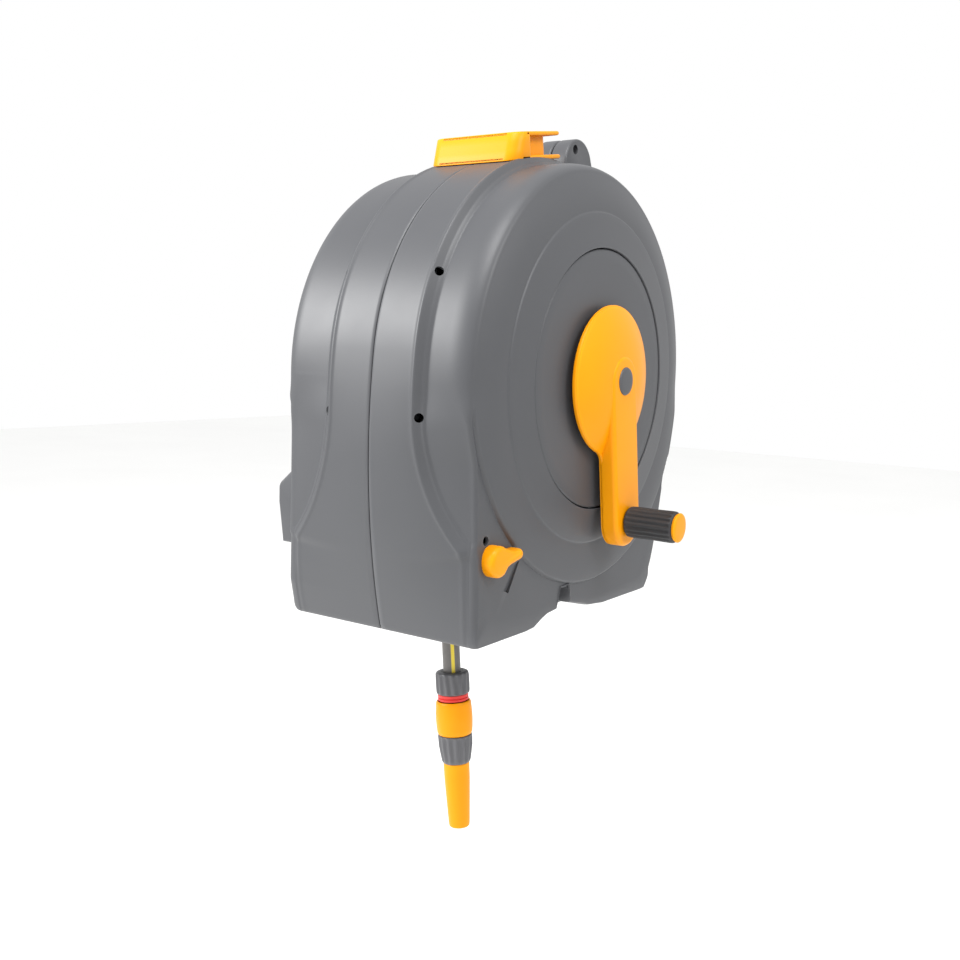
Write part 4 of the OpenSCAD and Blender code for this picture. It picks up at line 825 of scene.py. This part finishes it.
# %% [markdown]
# ## Brake lever
# The orange lever has a round hub and a nose that tapers to a rounded tip. It is a slab with generous edges, because it
# is pushed with a thumb.

# %% Brake lever
BRAKE_AT = joint_at["brake_turn"] - axle_at
lever_low, lever_high = from_axle("brake_lever")
HUB_R, NOSE, TIP_R, TIP_RISE, LEVER_EDGE, SPINDLE_R = 14.0, 36.0, 5.0, 3.0, 4.0, 6.0
NECK = [(12, 8.6), (17, 6.6), (23, 5.4)]
tip_y, tip_z = BRAKE_AT[1] + NOSE - TIP_R, BRAKE_AT[2] + TIP_RISE
neck_z = BRAKE_AT[2] + TIP_RISE * 0.6
lever_outline = (arc(BRAKE_AT[1:], HUB_R, 52, 300, 40) + [(BRAKE_AT[1] + y, neck_z - half) for y, half in NECK]
                 + arc((tip_y, tip_z), TIP_R, -85, 85, 16)
                 + [(BRAKE_AT[1] + y, neck_z + half) for y, half in NECK[::-1]])
lever = slab(lever_outline, CASE_HALF_W + 1, lever_high[0], LEVER_EDGE, 5)
spindle, spindle_faces = capped_spin([(lever_low[0], SPINDLE_R), (CASE_HALF_W + 2, SPINDLE_R)], 32)
lever = joined(lever, (stand(spindle, (0, *BRAKE_AT[1:])), spindle_faces))
piece("thumb_lever", *lever, orange_plastic, "brake", "orange", ["brake_lever"])
print("brake lever pivots at", BRAKE_AT.round(1))

# %% [markdown]
# ## Carry handle
# The handle is a flat orange block on the top of the band: two plates with a narrower web between them, so that fingers
# reach under the top plate from each side. It slopes up to the rear. It is drawn level and then turned to that slope.

# %% Carry handle
SEAT_R, SLOPE = 209.0, math.radians(10)
HANDLE_HALF_W, HANDLE_FRONT, HANDLE_BACK, HANDLE_H, PLATE_T = 51.0, 34.0, 52.0, 26.0, 4.0
FRONT_LEAN, BLOCK_L, REAR_CORNER = 11.0, 32.0, 5.0
WEB_HALF_W, WEB_CORNER = 40.0, 8.0
HANDLE_X = -3.0


def level_slab(outline, low, high, edge, steps=4):
    """A slab that stands upright: its outline is (x, y) points."""
    points, faces = slab(outline, low, high, edge, steps)
    return points[:, [1, 2, 0]], faces


def rounded_box(x0, x1, y0, y1, r, steps=8):
    """Outline of a rectangle with rounded corners."""
    return (arc((x1 - r, y1 - r), r, 0, 90, steps) + arc((x0 + r, y1 - r), r, 90, 180, steps)
            + arc((x0 + r, y0 + r), r, 180, 270, steps) + arc((x1 - r, y0 + r), r, 270, 360, steps))


def leaning_form(low, high, rear, corner, edge):
    """A form with rounded corners whose front face leans back, and whose edges are rounded."""
    rows = [(low, edge), (low + 0.3 * edge, 0.3 * edge), (low + edge, 0)]
    rows += [(low + (high - low) * t, 0) for t in (0.35, 0.65)] if high - low > 9 else []
    rows += [(high - edge, 0), (high - 0.3 * edge, 0.3 * edge), (high, edge)]
    points = []
    for z, inset in rows:
        front = FRONT_LEAN * z / HANDLE_H - HANDLE_FRONT
        wide = HANDLE_HALF_W - inset
        rear_y = rear - inset - REAR_CORNER
        outline = (arc((wide - REAR_CORNER, rear_y), REAR_CORNER, 0, 90, 6)
                   + arc((REAR_CORNER - wide, rear_y), REAR_CORNER, 90, 180, 6)
                   + arc((corner - wide, front + inset + corner), corner, 180, 270, 12)
                   + arc((wide - corner, front + inset + corner), corner, 270, 360, 12))
        points += [(x, y, z) for x, y in outline]
    return points, capped_faces(len(rows), len(points) // len(rows))


web = rounded_box(-WEB_HALF_W, WEB_HALF_W, BLOCK_L - HANDLE_FRONT - 6, HANDLE_BACK - 10, WEB_CORNER)
level_points, handle_faces = joined(leaning_form(0, PLATE_T, HANDLE_BACK, 14, 1.2),
                                    leaning_form(HANDLE_H - PLATE_T, HANDLE_H, HANDLE_BACK, 14, 1.4),
                                    leaning_form(0.4, HANDLE_H - 0.4, BLOCK_L - HANDLE_FRONT, 13.5, 1),
                                    level_slab(web, 1, HANDLE_H - 1, 0))
handle = tilted(np.array(level_points) + (HANDLE_X, 0, SEAT_R + 1), SLOPE)
piece("carry_handle_moulding", handle, handle_faces, orange_plastic, "case", "orange", ["carry_handle"])
print("carry handle", 2 * HANDLE_HALF_W, "mm wide")

# %% [markdown]
# ## Inlet hood
# On the far side a sloping hood covers the water inlet and is open below. It is a slab with soft edges, hollowed by a
# smaller slab a wall's thickness inside it that reaches out below.

# %% Inlet hood
hood_low, hood_high = from_axle("inlet_hood")
HOOD_SLOPE, HOOD_T, HOOD_EDGE, HOOD_CORNER_R = 30.0, 3.0, 3.0, 9.0


def hood_form(inset, low):
    """Front view of the hood, as (x, z) points."""
    x0, x1 = hood_low[0] + inset, -CASE_HALF_W + 6
    top = hood_high[2] - inset
    corner = arc((x0 + HOOD_CORNER_R, top - HOOD_SLOPE - 4), HOOD_CORNER_R, 125, 180, 8)
    return [(x1, low), (x1, top), (-CASE_HALF_W, top)] + corner + [(x0, 0.45 * top + 0.55 * low), (x0 + 6, low)]


outer, outer_faces = slab(hood_form(0, hood_low[2]), hood_low[1], hood_high[1], HOOD_EDGE)
inner, inner_faces = slab(hood_form(HOOD_T, hood_low[2] - 9), hood_low[1] + HOOD_T, hood_high[1] - HOOD_T)
hood = piece("inlet_hood_shell", outer[:, [1, 0, 2]], outer_faces, case_plastic, "case", "casing", ["inlet_hood"])
cut(hood, inner[:, [1, 0, 2]], inner_faces)
hood.data.set_sharp_from_angle(angle=math.radians(CRISP))
print("inlet hood from", hood_low.round(1), "to", hood_high.round(1))

# %% [markdown]
# ## Connector and nozzle
# The hose ends in a quick connector and a plain nozzle, which hang on one axis that leans a little. Each is spun from
# a profile: the nut and the barrel have grip flutes, the collar is slightly barrel shaped, and the spout tapers to a
# rounded tip. A seat in the top of the collar leaves room for the red seal when the collar slides up.

# %% Connector and nozzle
LEAN = math.radians(5.5)
NUT_AT = np.array([4.8, -85.0, -292.0])
NUT_L, RING_L, COLLAR_L, BARREL_L, SPOUT_L, JOIN_GAP = 22.0, 7.0, 34.0, 28.0, 66.0, 0.3
CORE_HOLE_R, RED_SEAT_R, RED_SEAT_L = 11.2, 15.6, 5.0
FLUTES, FLUTED_SIDES = 14, 168


def hung(points):
    """Spun points hung on the leaning axis of the nozzle: along is measured down from the connector's top."""
    along, x, y = np.array(points, float).T
    leant = [x * math.cos(LEAN) + along * math.sin(LEAN), y, x * math.sin(LEAN) - along * math.cos(LEAN)]
    return np.stack(leant, axis=1) + NUT_AT


def nozzle_piece(name, profile, finish, body, slot, node, flutes=0, depth=None, sides=160):
    """A spun piece of the connector or nozzle, which stands for one CAD node."""
    points, faces = closed_spin(profile, sides, flutes, depth)
    return piece(name, hung(points), faces, finish, body, slot, [node])


nut_profile = [(0, CORE_HOLE_R), (0, 14.2), (0.6, 15.6), (1.6, 16.4), (3, 17), (12, 17.1), (NUT_L - 3, 17),
               (NUT_L - 1, 16.6), (NUT_L, 15.4), (NUT_L, CORE_HOLE_R)]
nut = nozzle_piece("ribbed_nut", nut_profile, fitting_plastic, "guide", "connector", "hose_nut", FLUTES,
                   [0, 0, 0, 0.4, 1.6, 1.6, 1.6, 0.5, 0, 0], FLUTED_SIDES)
ring_top, ring_low = NUT_L, NUT_L + RING_L
red_profile = [(ring_top, CORE_HOLE_R), (ring_top, 14.4), (ring_top + 0.8, 15.3), (ring_top + 2.6, 15.3),
               (ring_top + 3.2, 14.3), (ring_top + 3.8, 14.3), (ring_top + 4.4, 15.3), (ring_low - 0.8, 15.3),
               (ring_low, 14.4), (ring_low, CORE_HOLE_R)]
red = nozzle_piece("red_seal", red_profile, seal_rubber, "guide", "red", "seal_ring")
collar_top = ring_low + JOIN_GAP
collar_low = collar_top + COLLAR_L
seat_low = collar_top + RED_SEAT_L
collar_profile = [(seat_low, 11.3), (seat_low, RED_SEAT_R), (collar_top, RED_SEAT_R), (collar_top, 16.3),
                  (collar_top + 0.5, 16.9), (collar_top + 1.6, 17.4)]
for share in np.linspace(0.08, 0.92, 12):
    collar_profile.append((collar_top + share * COLLAR_L, 17.3 + 1.1 * math.sin(share * math.pi)))
collar_profile += [(collar_low - 1.6, 17.2), (collar_low - 0.5, 16.5), (collar_low, 15.6), (collar_low, 11.3)]
collar = nozzle_piece("release_collar_moulding", collar_profile, orange_plastic, "collar", "orange", "release_collar")
barrel_top = collar_low + JOIN_GAP
barrel_low = barrel_top + BARREL_L
barrel_profile = [(barrel_top, 8), (barrel_top, 16.2), (barrel_top + 0.8, 17.2), (barrel_top + 3, 17.5),
                  (barrel_top + 10, 17.2), (barrel_low - 10, 16), (barrel_low - 4, 15), (barrel_low - 1.5, 14.4),
                  (barrel_low, 13.4), (barrel_low, 9.3)]
barrel = nozzle_piece("fluted_barrel", barrel_profile, fitting_plastic, "guide", "connector", "nozzle_barrel", FLUTES,
                      [0, 0, 0.2, 1.8, 1.8, 1.6, 1.3, 0.3, 0, 0], FLUTED_SIDES)
spout_top = barrel_low + JOIN_GAP
spout_low = spout_top + SPOUT_L
spout_profile = [(spout_top - 11, 5.2), (spout_top - 11, 8.8), (spout_top, 8.8), (spout_top, 12.3), (spout_top + 1, 13),
                 (spout_top + 16, 12.8), (spout_top + 34, 12.0), (spout_low - 10, 10.9), (spout_low - 4, 10.6),
                 (spout_low - 1.4, 10.2), (spout_low - 0.4, 9.2), (spout_low, 8), (spout_low, 5.6),
                 (spout_low - 8, 5.2)]
spout = nozzle_piece("spray_spout", spout_profile, orange_plastic, "spout", "orange", "nozzle_spout")
print("nozzle hangs to", hung([(spout_low, 0, 0)])[0].round(1))

# %% [markdown]
# ## Hose on the drum
# Four layers of hose lie under a fifth that is part wound. Only the outer layer can be seen through the slot, so the
# lower ones are one spun form with a hump for each turn, and the outer layer is a real helix of hose that ends where
# the hanging stretch leaves it.

# %% Hose on the drum
core_low, core_high = from_axle("hose_core")
layer_low = from_axle("hose_layer")[0]
PITCH, WIND_R = 18.2, 150.6
CORE_R, BARREL_R = core_high[2], 70.6
LEAVES_BY = (-85.0, -191.4)
CORE_SIDES, WIND_SIDES = 144, 14
turn_x = np.arange(core_low[0] + HOSE_D / 2, core_high[0] - HOSE_D / 2 + 1, PITCH)
core_profile = [(core_low[0], BARREL_R)]
for middle in turn_x:
    for a in np.linspace(160, 20, 9):
        core_profile.append((middle + HOSE_D / 2 * math.cos(math.radians(a)),
                             CORE_R - HOSE_D / 2 + HOSE_D / 2 * math.sin(math.radians(a))))
core_profile += [(core_high[0], CORE_R - HOSE_D / 2), (core_high[0], BARREL_R)]
core = closed_spin(core_profile, CORE_SIDES)
lower_layers = piece("lower_layers_of_hose", *core, hose_pvc, "drum", "hose", ["hose_core"])
leave = 2 * math.pi + math.atan2(LEAVES_BY[1], LEAVES_BY[0]) - math.acos(WIND_R / math.hypot(*LEAVES_BY))
turns = (-layer_low[0] - HOSE_D / 2) / PITCH
wind_t = np.linspace(0, 1, int(turns * 48))
wind_angle = leave - 2 * math.pi * turns * (1 - wind_t)
wind_x = -turns * PITCH * (1 - wind_t)
wind_path = np.stack([wind_x, WIND_R * np.cos(wind_angle), WIND_R * np.sin(wind_angle)], axis=1)
winding = tube(wind_path, HOSE_D / 2, WIND_SIDES, (1, 0, 0))
outer_layer = piece("outer_layer_of_hose", *winding, hose_pvc, "drum", "hose", ["hose_layer"])
for wound, sides in ((lower_layers, CORE_SIDES), (outer_layer, WIND_SIDES)):
    round_uv(wound, sides)
print("outer layer of", round(turns, 2), "turns")

# %% [markdown]
# ## CAD pieces that stay
# The inner works and the wall bracket are simple machined or moulded forms, and the CAD shows them as they are. They
# keep their solids and get a finish each. A small bevel on the larger ones lets their edges catch the light.

# %% Finishes of the CAD pieces
KEPT = {
    zinc_steel: ["upper_hinge_pin", "lower_hinge_pin", "handle_screws", "crank_shaft", "crank_screw", "grip_pin",
                 "idler_pin", "guide_rod", "layer_screw", "roller_pins"],
    gear_plastic: ["upper_hinge_bush", "lower_hinge_bush", "case_screws", "left_axle_bush", "right_axle_bush",
                   "inlet_spigot", "feed_pipe", "swivel_seals", "layer_bearings", "brake_bush", "drum_gear",
                   "idler_gear", "layer_gear", "brake_cam", "brake_shoe", "front_roller", "rear_roller",
                   "connector_core"],
    case_plastic: ["wall_bracket"],
    drum_plastic: ["swivel_housing", "drum_barrel", "drum_flange_left", "drum_flange_right", "drum_axle"],
    orange_plastic: ["guide_carriage"],
    seal_rubber: ["inlet_seal"],
}
BEVELS = {"wall_bracket": 1.5, "guide_carriage": 1.0, "brake_shoe": 0.8}
for finish, names in KEPT.items():
    for name in names:
        node = frame["nodes"][name]
        node.data.materials.clear()
        node.data.materials.append(finish)
for name, width in BEVELS.items():
    weld = frame["nodes"][name].modifiers.new("weld", "WELD")
    weld.merge_threshold = 0.01 * MM
    bevel = frame["nodes"][name].modifiers.new("soft_edges", "BEVEL")
    bevel.width, bevel.segments, bevel.limit_method, bevel.angle_limit = width * MM, 3, "ANGLE", math.radians(40)
    bevel.harden_normals = True
print("kept CAD pieces:", sum(len(names) for names in KEPT.values()))

# %% [markdown]
# ## Studio
# The photograph is a product shot on white. A large pale floor lies well below the nozzle, since the reel hangs on a
# wall. A broad soft light from the front left models the bow of the panel, one from the top front lights the handle and
# the shoulders, a weaker one from the right keeps the crank side readable, and a white world fills the shadows.

# %% Floor and light
FLOOR_Z, FLOOR_HALF = -620.0, 6000.0
floor_mesh = bpy.data.meshes.new("floor")
floor_corners = [(x * FLOOR_HALF, y * FLOOR_HALF, FLOOR_Z) for x, y in ((-1, -1), (1, -1), (1, 1), (-1, 1))]
floor_mesh.from_pydata([tuple(p) for p in in_frame(floor_corners)], [], [(0, 1, 2, 3)])
floor = bpy.data.objects.new("floor", floor_mesh)
bpy.context.collection.objects.link(floor)
pale_floor, tree, shader = new_finish("pale_matt_floor", Roughness=0.9)
speckle = add(tree, "ShaderNodeTexNoise", {"Scale": 1 / (40 * MM), "Detail": 2})
paper = add(tree, "ShaderNodeMix", {"Factor": speckle.outputs["Fac"], "A": linear("#f6f6f5"), "B": linear("#fbfbfa")},
            data_type="RGBA")
tree.links.new(paper.outputs[2], shader.inputs["Base Color"])
floor_mesh.materials.append(pale_floor)

world = bpy.data.worlds.new("pale_studio")
world.use_nodes = True
world.node_tree.nodes["Background"].inputs["Color"].default_value = (1, 1, 1, 1)
world.node_tree.nodes["Background"].inputs["Strength"].default_value = 1.0
bpy.context.scene.world = world
bpy.context.scene.view_settings.view_transform = "Standard"


def softbox(name, at, aim, size, watts):
    """A square area light that looks at a point, both in millimetres round the drum axis."""
    lamp = bpy.data.lights.new(name, "AREA")
    lamp.size, lamp.energy = size * MM, watts
    box = bpy.data.objects.new(name, lamp)
    bpy.context.collection.objects.link(box)
    start, end = Vector(in_frame(at)), Vector(in_frame(aim))
    box.matrix_world = Matrix.Translation(start) @ (end - start).to_track_quat("-Z", "Y").to_matrix().to_4x4()


softbox("key_front_left", (-1100, -1300, 700), (0, 0, 0), 700, 40)
softbox("rim_right", (1300, -100, 900), (0, 0, 0), 500, 10)
softbox("top_front", (300, -700, 1500), (0, 0, 100), 700, 22)
print("studio ready")
